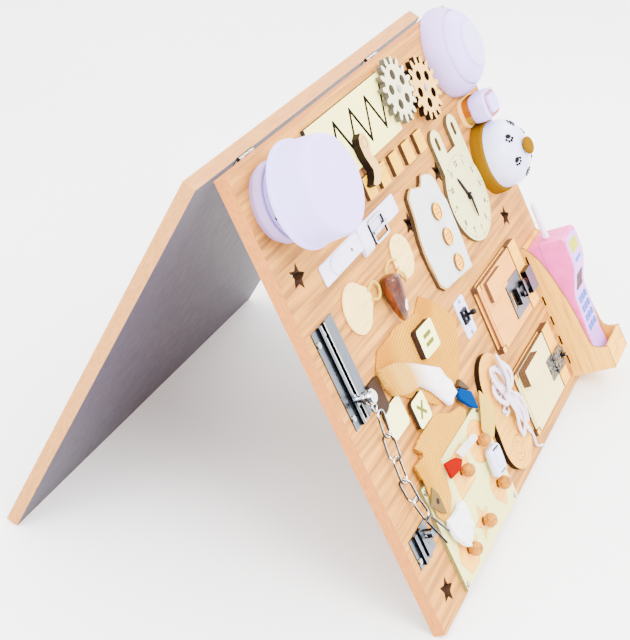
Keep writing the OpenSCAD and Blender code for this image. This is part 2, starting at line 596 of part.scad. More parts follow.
// Slide latch on door one: plate, bolt under its two straps, keeper on the rail
module latch_plate() {
    color("gray") onb() at(l1[0], l1[1], 9.5) difference() {
        union() {
            slab(49, 47, 1.4);
            for (x = [-11.5, 12.8]) translate([x, -11, 1.4]) cube([4.6, 22, 6.6]);
        }
        translate([-21, -6.4, 1.4]) cube([46, 12.8, 4.4]);
        translate([-19.5, -12.5, -1]) cube([6, 22, 4]);
    }
}
module latch_bolt() {
    color("dimgray") onb() at(l1[0], l1[1], 0) union() {
        translate([-12, -6, 11.1]) cube([38.4, 12, 3.9]);
        translate([-6.2, -2.6, 15]) cube([5.2, 5.2, 7]);
    }
}
// Hasp on door two: a decorated base and a hinged plate that reaches over the staple
hx = 466;
hv = 451;
module latch_keepers() {
    color("gray") onb() {
        at(488, l1[1], 9.5) difference() {
            slab(22, 30, 8);
            translate([-12, -6.5, 1.3]) cube([24, 13, 4.6]);
        }
        at(hx + 23, hv, 9.5) difference() {
            union() { slab(12, 24, 1.2); translate([-3, -1.5, 0]) cube([6, 3, 10]); }
            translate([0, 3, 7]) rotate([90, 0, 0]) rod(1.6, 6);
        }
    }
}
module hasp_base() {
    color("lightgray") onb() at(0, hv, 9.5) difference() {
        union() {
            translate([hx - 21, -14, 0]) cube([21, 28, 1.2]);
            for (y = [-11, 5]) translate([hx - 3, y, 0]) cube([4, 6, 3.4]);
            for (y = [-11, 5]) translate([hx, y, 2.6]) rotate([-90, 0, 0]) rod(2.4, 6);
        }
        translate([hx - 3, -5, -1]) cube([8, 10, 9]);
        translate([hx, -20, 2.6]) rotate([-90, 0, 0]) rod(1.05, 40);
    }
}
module hasp_plate() {
    color("lightgray") onb() at(0, hv, 9.5) difference() {
        union() {
            translate([hx, -4.7, 2.6]) rotate([-90, 0, 0]) rod(2.3, 9.4);
            translate([hx, -14, 2.6]) rotate([-90, 0, 0]) rod(1, 28);
            translate([hx + 1, -4.7, 2.2]) cube([8, 9.4, 1.6]);
            translate([hx + 4, -13, 2.2]) cube([25, 26, 1.6]);
            translate([hx + 28, -7, 2.2]) cube([6, 14, 1.6]);
        }
        translate([hx + 18.5, -4, 0]) cube([9, 8, 6]);
    }
}

// ---------------------------------------------------------------- phone and its holder
hu0 = 530; hu1 = 596;
prof = [[-314, 0], [-314, 3], [-322, 9], [-335, 16], [-361, 23.5], [-396, 30.7], [-424, 34.3], [-447, 36], [-460, 37], [-466, 39], [-469.5, 44], [-471, 51], [-471, lip_h],
    [-lip_v, lip_h], [-lip_v, 0]];
module side_plate() { rotate([90, 0, 90]) linear_extrude(3) polygon(prof); }
module phone_holder() {
    color("burlywood") onb() union() {
        translate([hu0, 0, 0]) side_plate();
        translate([hu1 - 3, 0, 0]) side_plate();
        translate([hu0, -lip_v, 0]) cube([hu1 - hu0, lip_v - 314, 3]);
        translate([hu0, -lip_v, 0]) cube([hu1 - hu0, 3, lip_h]);
        translate([hu0, -lip_v, lip_h - 3]) cube([hu1 - hu0, 32, 3]);
    }
}
module toy_phone() {
    color("pink") onb() union() {
        translate([537.5, 0, 0]) rotate([90, 0, 90]) linear_extrude(50) polygon([[-320, 4.5], [-318, 7], [-318, 51], [-322, 54], [-340, 54.5], [-360, 53], [-375, 47.5], [-390, 41.5],
            [-400, 39], [-430, 38], [-466, 36], [-482, 38], [-494, 38], [-498.6, 33], [-498.6, 7], [-496, 4.5]]);
        translate([557, -319, 26]) rotate([-90, 0, 0]) cylinder(r1 = 5, r2 = 4.4, h = 8);
        translate([557, -312, 26]) rotate([-90, 0, 0]) cylinder(r1 = 3.7, r2 = 3.1, h = 43);
    }
}

// ---------------------------------------------------------------- knob puzzle
pp = [65.5, 247, 380, 505];
piece_at = [[153.5, 413], [213, 411], [100, 477], [152.6, 476.5], [215.5, 468.5]];
piece_z = 1.6;
module shape2d(k, g = 0) {
    if (k == 0) square([44 + 2 * g, 44 + 2 * g], center = true);
    if (k == 1) circle(r = 24 + g);
    if (k == 2) circle(r = 25 + 1.15 * g, $fn = 6);
    if (k == 3) star2d(21.5 + 2 * g, 9 + 1.4 * g);
    if (k == 4) union() { circle(r = 19 + g); scale((19 + g) / 19) polygon([[-13.45, -13.42], [0, -26.9], [13.45, -13.42], [0, 0]]); }
}
module puzzle_plate() {
    color("ivory") onb() difference() {
        translate([pp[0], -pp[3], 0]) cube([pp[1] - pp[0], pp[3] - pp[2], 5]);
        for (k = [0:4]) at(piece_at[k][0], piece_at[k][1], 1.5) linear_extrude(9) shape2d(k, 0.4);
        for (i = [4:7]) at(screws[i][0], screws[i][1], -1) rod(1.6, 12);
    }
}
module piece(k) {
    onb() at(piece_at[k][0], piece_at[k][1], piece_z) union() {
        linear_extrude(3.4) shape2d(k);
        rod(3.5, 8);
        translate([0, 0, 3.4]) rod(4.8, 1.2);
        translate([0, 0, 11.9]) sphere(r = 7.8);
    }
}
module puzzle_square() { color("bisque") piece(0); }
module puzzle_circle() { color("bisque") piece(1); }
module puzzle_hexagon() { color("bisque") piece(2); }
module puzzle_star() { color("bisque") piece(3); }
module puzzle_shield() { color("bisque") piece(4); }

front_board();
back_board();
back_sheet();
hinge_leaves_front();
hinge_leaves_back();
steel_fasteners();
lamp_base();
lamp_cap();
dome_base();
dome_lens();
zigzag_plate();
zigzag_slider();
gear_white();
gear_wood();
letter_blocks();
leather_straps();
buckle_frame();
buckle_prong();
toggle_patches();
horn_toggle();
vest_plate();
vest_cloth();
vest_buttons();
clock_plate();
hour_hand();
minute_hand();
press_base();
press_cap();
press_button();
bell_ring();
bell_dome();
bell_button();
chain_plates();
chain_slider();
chain_links();
woven_pads();
end_caps();
math_tiles();
switch_plate();
switch_lever();
shoe_plate();
shoe_lace();
elastic_strap();
side_buckles();
door_frames();
door_one();
door_two();
latch_plate();
latch_bolt();
hasp_base();
hasp_plate();
latch_keepers();
phone_holder();
toy_phone();
puzzle_plate();
puzzle_square();
puzzle_circle();
puzzle_hexagon();
puzzle_star();
puzzle_shield();
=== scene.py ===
import bpy, bmesh, math
import numpy as np
from mathutils import Vector, Matrix, noise


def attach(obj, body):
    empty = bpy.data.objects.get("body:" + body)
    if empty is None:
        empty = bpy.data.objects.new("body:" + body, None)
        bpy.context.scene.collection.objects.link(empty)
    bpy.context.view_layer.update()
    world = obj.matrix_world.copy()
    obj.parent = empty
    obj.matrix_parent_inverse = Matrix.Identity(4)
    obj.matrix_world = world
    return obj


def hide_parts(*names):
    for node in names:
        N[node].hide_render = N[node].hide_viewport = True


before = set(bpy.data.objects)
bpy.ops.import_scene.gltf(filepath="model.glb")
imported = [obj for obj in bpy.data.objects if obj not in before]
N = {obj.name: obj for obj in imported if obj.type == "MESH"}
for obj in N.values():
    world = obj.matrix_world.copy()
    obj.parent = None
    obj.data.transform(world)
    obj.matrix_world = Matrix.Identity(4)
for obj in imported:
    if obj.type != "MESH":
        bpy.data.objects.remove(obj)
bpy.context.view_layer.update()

A = math.radians(27.8)
SA, CA = math.sin(A), math.cos(A)
T = 0.0144
CX, CYY, CZ = 0.2875, (0.005 + 0.007 * SA - 0.058 * CA) / 2, 0.51 * CA


def W(u, v, h):
    """Front board coordinates in mm (along the fold, down the slope, out of the face) to the frame, in metres"""
    return Vector((u / 1000 - CX, -v / 1000 * SA - (T + h / 1000) * CA - CYY, -v / 1000 * CA + (T + h / 1000) * SA + CZ))


BOARD = Matrix.Translation(W(0, 0, 0)) @ Matrix.Rotation(math.pi / 2 - A, 4, "X")
BACK = Matrix.Translation(Vector((-CX, -CYY + 0.005, CZ))) @ Matrix.Rotation(math.pi / 2 + A, 4, "X")

# ------------------------------------------------------------------ camera, light and floor
yaw, pit, rol = math.radians(23.135), math.radians(29.322), math.radians(-1.049)
fwd = Vector((math.cos(yaw) * math.cos(pit), math.sin(yaw) * math.cos(pit), -math.sin(pit)))
right = Vector((math.sin(yaw), -math.cos(yaw), 0))
down = fwd.cross(right)
r2 = math.cos(rol) * right + math.sin(rol) * down
d2 = -math.sin(rol) * right + math.cos(rol) * down
cam = bpy.data.objects.new("camera", bpy.data.cameras.new("camera"))
bpy.context.scene.collection.objects.link(cam)
m = Matrix((r2, -d2, -fwd)).transposed().to_4x4()
m.translation = Vector((-1.2851, -0.5283 - CYY, 0.9418))
cam.matrix_world = m
cam.data.lens = 76.19
cam.data.sensor_width = 36
cam.data.clip_start = 0.05
bpy.context.scene.camera = cam

world = bpy.data.worlds.new("studio")
bpy.context.scene.world = world
world.use_nodes = True
wn = world.node_tree
bg = wn.nodes["Background"]
tc = wn.nodes.new("ShaderNodeTexCoord")
sx = wn.nodes.new("ShaderNodeSeparateXYZ")
rm = wn.nodes.new("ShaderNodeValToRGB")
wn.links.new(tc.outputs["Generated"], sx.inputs[0])
mr = wn.nodes.new("ShaderNodeMapRange")
mr.inputs["From Min"].default_value = -1
wn.links.new(sx.outputs["Z"], mr.inputs[0])
wn.links.new(mr.outputs[0], rm.inputs[0])
rm.color_ramp.elements[0].color = (0.82, 0.80, 0.80, 1)
rm.color_ramp.elements[1].color = (1, 0.995, 0.99, 1)
e = rm.color_ramp.elements.new(0.5); e.color = (0.72, 0.72, 0.74, 1)
wn.links.new(rm.outputs[0], bg.inputs[0])
bg.inputs[1].default_value = 5.6


def vivid(c):
    return tuple(float(x) for x in c[:3])


def area(name, loc, target, size, power, color=(1, 1, 1)):
    l = bpy.data.lights.new(name, "AREA")
    l.shape = "DISK"; l.size = size; l.energy = power; l.color = color
    o = bpy.data.objects.new(name, l)
    bpy.context.scene.collection.objects.link(o)
    o.location = loc
    o.rotation_euler = (Vector(target) - Vector(loc)).to_track_quat("-Z", "Y").to_euler()


area("key_light", (-0.9, -1.5, 2.0), (0, -0.1, 0.2), 1.3, 125, (1, 0.985, 0.965))
area("fill_light", (-1.6, 0.6, 1.2), (0, 0, 0.25), 1.2, 36, (0.97, 0.98, 1))
area("rim_light", (1.4, -0.4, 1.4), (0, -0.1, 0.2), 1.0, 30)

# ------------------------------------------------------------------ node helpers


class Mat:
    """Builds one procedural material. P is the position on its board in metres: x along the fold, y up the slope, z out of the face."""

    def __init__(s, name, base=BOARD):
        s.m = bpy.data.materials.new(name)
        s.m.use_nodes = True
        s.t = s.m.node_tree
        s.b = s.t.nodes["Principled BSDF"]
        c = s.n("ShaderNodeTexCoord")
        inv = base.inverted()
        mp = s.n("ShaderNodeMapping")
        mp.inputs["Rotation"].default_value = inv.to_euler()
        mp.inputs["Location"].default_value = inv.translation
        s.l(c.outputs["Object"], mp.inputs["Vector"])
        s.P = mp.outputs[0]
        q = s.n("ShaderNodeSeparateXYZ"); s.l(s.P, q.inputs[0])
        s.x, s.y, s.z = q.outputs
        mv = s.n("ShaderNodeMapping"); mv.vector_type = "NORMAL"
        mv.inputs["Rotation"].default_value = inv.to_euler()
        s.l(c.outputs["Normal"], mv.inputs["Vector"])
        q2 = s.n("ShaderNodeSeparateXYZ"); s.l(mv.outputs[0], q2.inputs[0])
        s.nx, s.ny, s.nz = q2.outputs
        s.nrm = None

    def n(s, kind):
        return s.t.nodes.new(kind)

    def l(s, a, b):
        s.t.links.new(a, b)

    def put(s, sock, v):
        if isinstance(v, bpy.types.NodeSocket):
            s.l(v, sock)
        elif sock.type == "RGBA":
            sock.default_value = (*vivid(v), 1)
        else:
            sock.default_value = v
        return sock

    def math(s, op, a, b=0.0, c=None, clamp=False):
        k = s.n("ShaderNodeMath"); k.operation = op; k.use_clamp = clamp
        s.put(k.inputs[0], a); s.put(k.inputs[1], b)
        if c is not None:
            s.put(k.inputs[2], c)
        return k.outputs[0]

    def scale(s, vec, f):
        k = s.n("ShaderNodeVectorMath"); k.operation = "MULTIPLY"
        s.put(k.inputs[0], vec); k.inputs[1].default_value = f
        return k.outputs[0]

    def shift(s, vec, amount, along):
        """vec plus amount (a value) times along"""
        k = s.n("ShaderNodeVectorMath"); k.operation = "MULTIPLY_ADD"
        c = s.n("ShaderNodeCombineXYZ")
        for i in range(3):
            s.put(c.inputs[i], amount)
        s.l(c.outputs[0], k.inputs[0]); k.inputs[1].default_value = along; s.put(k.inputs[2], vec)
        return k.outputs[0]

    def noise(s, f, detail=4, rough=0.55, vec=None, dist=0.0):
        k = s.n("ShaderNodeTexNoise")
        f = f if isinstance(f, tuple) else (f, f, f)
        s.l(s.scale(vec if vec is not None else s.P, f), k.inputs["Vector"])
        k.inputs["Scale"].default_value = 1
        k.inputs["Detail"].default_value = detail
        k.inputs["Roughness"].default_value = rough
        k.inputs["Distortion"].default_value = dist
        return k.outputs[0]

    def ramp(s, fac, stops):
        k = s.n("ShaderNodeValToRGB")
        s.l(fac, k.inputs[0])
        el = k.color_ramp.elements
        while len(el) < len(stops):
            el.new(0.5)
        for i, (p, c) in enumerate(stops):
            el[i].position = p
            el[i].color = (*(vivid(c) if hasattr(c, "__len__") else (c, c, c)), 1)
        return k.outputs[0]

    def mix(s, fac, a, b, mode="MIX"):
        k = s.n("ShaderNodeMix"); k.data_type = "RGBA"; k.blend_type = mode
        s.put(k.inputs[0], fac)
        s.put(k.inputs[6], a); s.put(k.inputs[7], b)
        return k.outputs[2]

    def bump(s, height, strength=0.3, dist=0.0005):
        k = s.n("ShaderNodeBump")
        k.inputs["Strength"].default_value = strength
        k.inputs["Distance"].default_value = dist
        s.l(height, k.inputs["Height"])
        if s.nrm is not None:
            s.l(s.nrm, k.inputs["Normal"])
        s.nrm = k.outputs[0]

    def side(s, lo=0.35, hi=0.75):
        """1 on faces that look along the board's normal, 0 on the sides"""
        k = s.n("ShaderNodeMapRange"); k.clamp = True
        s.l(s.math("ABSOLUTE", s.nz), k.inputs[0])
        k.inputs[1].default_value = lo; k.inputs[2].default_value = hi
        return k.outputs[0]

    def between(s, v, a, b, soft=0.0004):
        """1 where v lies between a and b"""
        k = s.n("ShaderNodeMapRange"); k.clamp = True; s.l(v, k.inputs[0])
        k.inputs[1].default_value = a - soft; k.inputs[2].default_value = a + soft
        j = s.n("ShaderNodeMapRange"); j.clamp = True; s.l(v, j.inputs[0])
        j.inputs[1].default_value = b + soft; j.inputs[2].default_value = b - soft
        return s.math("MULTIPLY", k.outputs[0], j.outputs[0])

    def radius(s, u, v):
        k = s.n("ShaderNodeVectorMath"); k.operation = "DISTANCE"
        c = s.n("ShaderNodeCombineXYZ"); s.l(s.x, c.inputs[0]); s.l(s.y, c.inputs[1])
        s.l(c.outputs[0], k.inputs[0]); k.inputs[1].default_value = (u / 1000, -v / 1000, 0)
        return k.outputs["Value"]

    def done(s, color=None, rough=0.5, metal=0.0, **k):
        if color is not None:
            s.put(s.b.inputs["Base Color"], color)
        s.put(s.b.inputs["Roughness"], rough)
        s.b.inputs["Metallic"].default_value = metal
        s.b.inputs["Specular IOR Level"].default_value = 0.5 if metal else k.pop("spec", 0.06)
        for key, val in k.items():
            s.put(s.b.inputs[key.replace("_", " ")], val)
        if s.nrm is not None:
            s.l(s.nrm, s.b.inputs["Normal"])
        return s.m


def fibres(s, vec, long=14, across=170):
    return s.noise((long, across, across), 5, 0.62, vec, 0.4), s.noise((long * 4, across * 6, across * 6), 3, 0.6, vec)


def wood(name, light, mid, dark, end=None, plank=0.052, base=BOARD, contrast=1.0, tone=0.12, rough=0.5, figure=0.5, holes=()):
    s = Mat(name, base)
    row = s.math("FLOOR", s.math("DIVIDE", s.math("ADD", s.y, 0.013), plank))
    wn_ = s.n("ShaderNodeTexWhiteNoise"); wn_.noise_dimensions = "1D"; s.l(row, wn_.inputs["W"])
    r = wn_.outputs[0]
    vec = s.shift(s.P, r, (7.3, 3.1, 0.7))
    g, f = fibres(s, vec, 6, 150)
    lo, hi = 0.5 - 0.23 / contrast, 0.5 + 0.23 / contrast
    col = s.ramp(g, [(lo, dark), (0.5, mid), (hi, light)])
    # broad curved figure of flat-sawn boards
    wv = s.n("ShaderNodeTexWave"); wv.wave_type = "BANDS"; wv.bands_direction = "Y"
    s.l(s.scale(vec, (0.9, 20, 20)), wv.inputs["Vector"])
    wv.inputs["Scale"].default_value = 1.1; wv.inputs["Distortion"].default_value = 5.5
    wv.inputs["Detail"].default_value = 2; wv.inputs["Detail Scale"].default_value = 0.7
    fig = s.ramp(wv.outputs[1], [(0.0, 0.0), (0.75, 0.25), (1.0, 1.0)])
    col = s.mix(s.math("MULTIPLY", fig, figure * 0.55), col, dark)
    col = s.mix(s.math("MULTIPLY", s.ramp(f, [(0.3, 1.0), (0.62, 0.0)]), 0.16), col, [c * 0.7 for c in dark])
    k = s.math("MULTIPLY_ADD", r, 2 * tone, 1 - tone)
    hsv = s.n("ShaderNodeHueSaturation"); s.l(col, hsv.inputs["Color"]); s.l(k, hsv.inputs["Value"])
    col = hsv.outputs[0]
    joint = s.math("PINGPONG", s.math("ADD", s.y, 0.013), plank / 2)
    jm = s.n("ShaderNodeMapRange"); jm.clamp = True; s.l(joint, jm.inputs[0])
    jm.inputs[1].default_value = 0.00035; jm.inputs[2].default_value = 0.0; jm.inputs[3].default_value = 0; jm.inputs[4].default_value = 0.35
    col = s.mix(jm.outputs[0], col, [c * 0.5 for c in dark])
    if end:
        eg = s.noise((30, 120, 420), 5, 0.6)
        ec = s.ramp(eg, [(0.3, [c * 0.78 for c in end]), (0.5, end), (0.72, [min(1, c * 1.18) for c in end])])
        col = s.mix(s.side(0.3, 0.7), ec, col)
    # the walls of the board's holes are darkened
    for hu, hv_ in holes:
        hole_wall_dark = s.math("MULTIPLY", s.between(s.radius(hu, hv_), -1, 0.0165, 0.0004), s.math("SUBTRACT", 1.0, s.side(0.3, 0.6)))
        col = s.mix(hole_wall_dark, col, (0.055, 0.026, 0.014))
    s.bump(f, 0.12, 0.0004)
    s.bump(g, 0.1, 0.0008)
    return s.done(col, s.math("MULTIPLY_ADD", f, 0.25, rough - 0.1), spec=0.08)


def plate(name, face, side, grain=0.35, layers=0.0, rough=0.5, extra=None, char=True, base=BOARD):
    """A laser-cut wooden plate: painted or bare face and scorched sides, with dark lines where its layers meet"""
    s = Mat(name, base)
    g, f = fibres(s, s.P, 16, 190)
    col = s.ramp(g, [(0.28, [c * (1 - grain * 0.35) for c in face]), (0.5, face), (0.75, [min(1, c * (1 + grain * 0.1)) for c in face])])
    mott = s.noise(55, 3)
    col = s.mix(s.math("MULTIPLY", s.ramp(mott, [(0.35, 0.0), (0.7, 1.0)]), 0.10), col, [c * 0.9 for c in face])
    if extra:
        col = extra(s, col)
    sg = s.noise((260, 260, 900), 4, 0.6)
    sc = s.ramp(sg, [(0.3, [c * 0.55 for c in side]), (0.52, side), (0.75, [min(1, c * 1.5) for c in side])])
    if layers:
        w = s.math("PINGPONG", s.z, layers / 2)
        ln = s.n("ShaderNodeMapRange"); ln.clamp = True; s.l(w, ln.inputs[0])
        ln.inputs[1].default_value = 0.00045; ln.inputs[2].default_value = 0.0001
        sc = s.mix(s.math("MULTIPLY", ln.outputs[0], 0.8), sc, (0.035, 0.018, 0.01))
    col = s.mix(s.side(0.3, 0.6), sc, col)
    s.bump(f, 0.08, 0.0003)
    s.bump(mott, 0.06, 0.0006)
    return s.done(col, s.math("MULTIPLY_ADD", mott, 0.18, rough - 0.08))


def plastic(name, col, rough=0.3, sss=0.0, extra=None, speck=0.02, base=BOARD, spec=None):
    s = Mat(name, base)
    a = s.noise(38, 3); b = s.noise(900, 2)
    c = s.ramp(a, [(0.3, [x * (1 - speck * 2) for x in col]), (0.7, [min(1, x * (1 + speck)) for x in col])])
    # rubbed, duller edges and finger marks
    sm = s.noise((90, 60, 90), 5, 0.65, None, 0.8)
    if extra:
        c = extra(s, c)
    s.bump(a, 0.05, 0.0008); s.bump(b, 0.05, 0.0001)
    r = s.math("MULTIPLY_ADD", sm, 0.2, rough - 0.1)
    pale = min(col) / max(max(col), 1e-6)
    k = dict(spec=(0.35 if pale > 0.5 and max(col) > 0.3 else 0.06) if spec is None else spec)
    if sss:
        k.update(Subsurface_Weight=sss, Subsurface_Scale=0.006)
        s.b.inputs["Subsurface Radius"].default_value = (1, 0.9, 1)
    return s.done(c, r, **k)


def metal(name, col, rough=0.25, brush=(60, 900, 900), extra=None, dark=0.6, patina=0.4, contrast=1.0):
    """Bright metal: painted reflection, its tone also swings with the way each face looks, standing in for a studio
    with dark and light cards round it
    """
    s = Mat(name)
    a = s.noise(brush, 4, 0.7); p = s.noise(120, 5, 0.7, None, 0.5)
    # painted reflection: the colour ramp below is driven by the direction each face looks
    v = s.math("MULTIPLY_ADD", s.nx, 2.6, s.math("MULTIPLY", s.ny, 3.4))
    v = s.math("ADD", v, s.math("MULTIPLY", p, 2.2))
    v = s.math("MULTIPLY_ADD", s.math("SINE", v), 0.5 * contrast, 0.5)
    c = s.ramp(v, [(0.12, [x * 0.06 for x in col]), (0.42, [x * dark for x in col]), (0.62, col), (0.92, [min(1, x * 1.9) for x in col])])
    if extra:
        c = extra(s, c)
    s.bump(a, 0.1, 0.0002); s.bump(p, 0.06, 0.0004)
    return s.done(c, s.math("MULTIPLY_ADD", p, patina, rough - 0.1), 1.0)


def weave(name, a, b, pitch=0.0016, rough=0.85, corner=None, slant=0.0, depth=0.5):
    s = Mat(name)
    xs = s.math("ADD", s.x, s.math("MULTIPLY", s.noise(90, 2), 0.0009))
    ys = s.math("ADD", s.y, s.math("MULTIPLY", s.noise(80, 2), 0.0009))
    if slant:
        xs, ys = s.math("MULTIPLY_ADD", ys, slant, xs), s.math("MULTIPLY_ADD", xs, -slant, ys)
    wx = s.math("ABSOLUTE", s.math("SINE", s.math("MULTIPLY", xs, math.pi / pitch)))
    wy = s.math("ABSOLUTE", s.math("SINE", s.math("MULTIPLY", ys, math.pi / pitch)))
    wv = s.math("MULTIPLY", wx, wy)
    n1 = s.noise(45, 4); n2 = s.noise((700, 120, 500), 3, 0.7)
    c = s.ramp(n1, [(0.3, [x * 0.86 for x in a]), (0.7, a)])
    c = s.mix(s.math("MULTIPLY", s.ramp(wv, [(0.0, 1.0), (0.55, 0.0)]), depth), c, b)
    c = s.mix(s.math("MULTIPLY", n2, 0.12), c, [x * 0.75 for x in b])
    if corner:
        c = corner(s, c)
    s.bump(wv, 0.5, 0.0006); s.bump(n2, 0.15, 0.0002)
    return s.done(c, rough, 0.0, spec=0.0)


def soft(name, col, rough=0.6, scale=260, strength=0.35, sheen=0.0, crease=0.0, extra=None):
    """Leather, felt or loose cloth"""
    s = Mat(name)
    v = s.n("ShaderNodeTexVoronoi"); v.feature = "DISTANCE_TO_EDGE"
    s.l(s.scale(s.P, (scale, scale, scale)), v.inputs["Vector"]); v.inputs["Scale"].default_value = 1
    a = s.noise(70, 4); f = s.noise((1500, 900, 1200), 3, 0.7); big = s.noise(26, 3, 0.5, None, 0.8)
    c = s.ramp(a, [(0.3, [x * 0.92 for x in col]), (0.72, [min(1, x * 1.03) for x in col])])
    c = s.mix(s.math("MULTIPLY", s.ramp(big, [(0.35, 1.0), (0.6, 0.0)]), 0.18), c, [x * 0.8 for x in col])
    if extra:
        c = extra(s, c)
    s.bump(v.outputs[0], strength, 0.0003); s.bump(f, 0.25, 0.00015)
    if crease:
        s.bump(big, crease, 0.004)
    return s.done(c, rough, Sheen_Weight=sheen, Sheen_Roughness=0.4)


# ------------------------------------------------------------------ materials
PEACH_L, PEACH_M, PEACH_D = (0.70, 0.31, 0.045), (0.53, 0.215, 0.034), (0.24, 0.098, 0.022)
M = {}
M["wood_front"] = wood("wood_front", PEACH_L, PEACH_M, PEACH_D, end=(0.453, 0.158, 0.0303), contrast=1.35, figure=0.8, tone=0.10, holes=((36, 119), (282, 169.5), (397, 151.5), (524, 264), (37, 481.5)))
M["wood_back"] = wood("wood_back", (0.50, 0.21, 0.075), (0.36, 0.145, 0.058), (0.17, 0.07, 0.034), end=(0.46, 0.20, 0.055), base=BACK, figure=0.5, contrast=1.3)
M["wood_frame"] = wood("wood_frame", (0.88, 0.392, 0.0468), (0.674, 0.28, 0.0549), (0.297, 0.123, 0.0377), end=(0.205, 0.094, 0.0412), plank=0.2)


def back_face(s, c):
    sc = s.noise((40, 220, 60), 4, 0.7, None, 1.0)
    return s.mix(s.math("MULTIPLY", s.ramp(sc, [(0.55, 0.0), (0.75, 1.0)]), 0.25), c, (0.0598, 0.0517, 0.063))


M["laminate"] = plastic("laminate", (0.050, 0.041, 0.062), 0.42, extra=back_face, base=BACK)
M["white_plastic"] = plastic("white_plastic", (0.507, 0.415, 0.88), 0.32, 0.08)
M["buckle_plastic"] = plastic("buckle_plastic", (0.59, 0.611, 0.88), 0.35, 0.12)


def lamp_marks(s, c):
    # painted shade: the neck in the recess under the flange is darkened; the small dark catch on the side that faces
    # down the slope and left is its own piece, lamp_catch, further down
    under_flange_shade = s.between(s.z, 0.017, 0.0305, 0.0006)
    c = s.mix(s.math("MULTIPLY", under_flange_shade, 0.55), c, (0.0894, 0.0721, 0.125))
    return c


M["lamp_base"] = plastic("lamp_base", (0.36, 0.245, 0.49), 0.36, 0.05)
M["lamp_head"] = plastic("lamp_head", (0.507, 0.415, 0.88), 0.30, 0.10, lamp_marks)
M["dome_base"] = plastic("dome_base", (0.468, 0.348, 0.7), 0.38, 0.15)


def dome_rings(s, c):
    r = s.radius(541, 48)
    edge = s.between(r, 0.0275, 0.0295, 0.0012)
    mid = s.between(r, 0.0, 0.0275, 0.001)
    c = s.mix(s.math("MULTIPLY", mid, 0.45), c, (0.59, 0.611, 0.88))
    return s.mix(s.math("MULTIPLY", edge, 0.30), c, (0.259, 0.204, 0.387))


M["dome_lens"] = plastic("dome_lens", (0.513, 0.401, 0.88), 0.28, 0.25, dome_rings)
M["black_plastic"] = plastic("black_plastic", (0.00622, 0.00599, 0.00668), 0.3)
M["yellow_plastic"] = plastic("yellow_plastic", (0.155, 0.07, 0.0002), 0.25, spec=0.0)
M["bell_white"] = plastic("bell_white", (0.59, 0.611, 0.88), 0.22)


def press_parts(s, c):
    rim = s.between(s.z, -0.01, 0.0041, 0.0003)
    c = s.mix(rim, c, (0.88, 0.528, 0.138))
    y = s.math("MULTIPLY", s.between(s.y, -0.142, -0.1285, 0.0003), s.between(s.x, 0.50, 0.527, 0.0003))
    y = s.math("MULTIPLY", y, s.between(s.z, 0.0045, 0.0135, 0.0003))
    return s.mix(y, c, (0.249, 0.133, 0.002))


M["orange_plastic"] = plastic("orange_plastic", (0.25, 0.062, 0.0006), 0.32, extra=press_parts, spec=0.0)
M["ring_orange"] = plastic("ring_orange", (0.453, 0.113, 0.002), 0.35)
M["cream"] = plate("cream", (0.643, 0.594, 0.29), (0.0928, 0.062, 0.0281), 0.2, rough=0.45)
M["cream_pale"] = plate("cream_pale", (0.813, 0.794, 0.373), (0.237, 0.19, 0.0671), 0.25, rough=0.5)


def puzzle_lines(s, c):
    return c




M["zigzag_cream"] = plate("zigzag_cream", (0.88, 0.789, 0.273), (0.0191, 0.0179, 0.0157), 0.25, rough=0.5)
M["puzzle_cream"] = plate("puzzle_cream", (0.701, 0.663, 0.246), (0.205, 0.166, 0.0511), 0.25, rough=0.5)
M["gear_white"] = plate("gear_white", (0.645, 0.599, 0.37), (0.0884, 0.0782, 0.0531), 0.2)
M["gear_wood"] = plate("gear_wood", (0.74, 0.42, 0.10), (0.0065, 0.003, 0.002), 0.4)
M["slider_wood"] = plate("slider_wood", (0.60, 0.36, 0.11), (0.006, 0.003, 0.002), 0.3)
M["letter"] = plate("letter", (0.734, 0.371, 0.0127), (0.0503, 0.0244, 0.0124), 0.7, layers=0.0025)
M["vest_wood"] = plate("vest_wood", (0.516, 0.254, 0.0429), (0.0486, 0.0267, 0.014), 0.5)
M["button_wood"] = plate("button_wood", (0.88, 0.397, 0.0296), (0.156, 0.0726, 0.0235), 0.6)
M["track"] = plate("track", (0.0164, 0.0155, 0.0159), (0.00707, 0.0071, 0.00715), 0.3)
M["hand"] = plate("hand", (0.0123, 0.00547, 0.00436), (0.00727, 0.00343, 0.00251), 0.3)
M["ink"] = plastic("ink", (0.024, 0.0222, 0.019), 0.6)
M["ink_black"] = plastic("ink_black", (0.00337, 0.00333, 0.00388), 0.5)
M["olive"] = plastic("olive", (0.116, 0.113, 0.002), 0.5)


def shoe_rings(s, c):
    r = s.radius(292.7, 468.7)
    k = s.math("PINGPONG", r, 0.00375)
    ln = s.n("ShaderNodeMapRange"); ln.clamp = True; s.l(k, ln.inputs[0])
    ln.inputs[1].default_value = 0.0007; ln.inputs[2].default_value = 0.0003
    inside = s.between(r, 0.003, 0.019, 0.0005)
    c = s.mix(s.math("MULTIPLY", s.math("MULTIPLY", ln.outputs[0], inside), 0.75), c, (0.0448, 0.0216, 0.0106))
    return c


M["shoe"] = plate("shoe", (0.72, 0.34, 0.045), (0.0075, 0.0035, 0.0022), 0.9, extra=shoe_rings)
M["door_one"] = plate("door_one", (0.75, 0.30, 0.052), (0.125, 0.0599, 0.0301), 0.55, layers=0.003)
M["door_two"] = plate("door_two", (0.759, 0.651, 0.273), (0.105, 0.054, 0.0271), 0.2, layers=0.003)
M["label_one"] = plate("label_one", (0.88, 0.408, 0.0332), (0.101, 0.0485, 0.022), 0.7, layers=0.0027)
M["frame_ply"] = plate("frame_ply", (0.88, 0.408, 0.0332), (0.0835, 0.0403, 0.022), 0.6, layers=0.003)


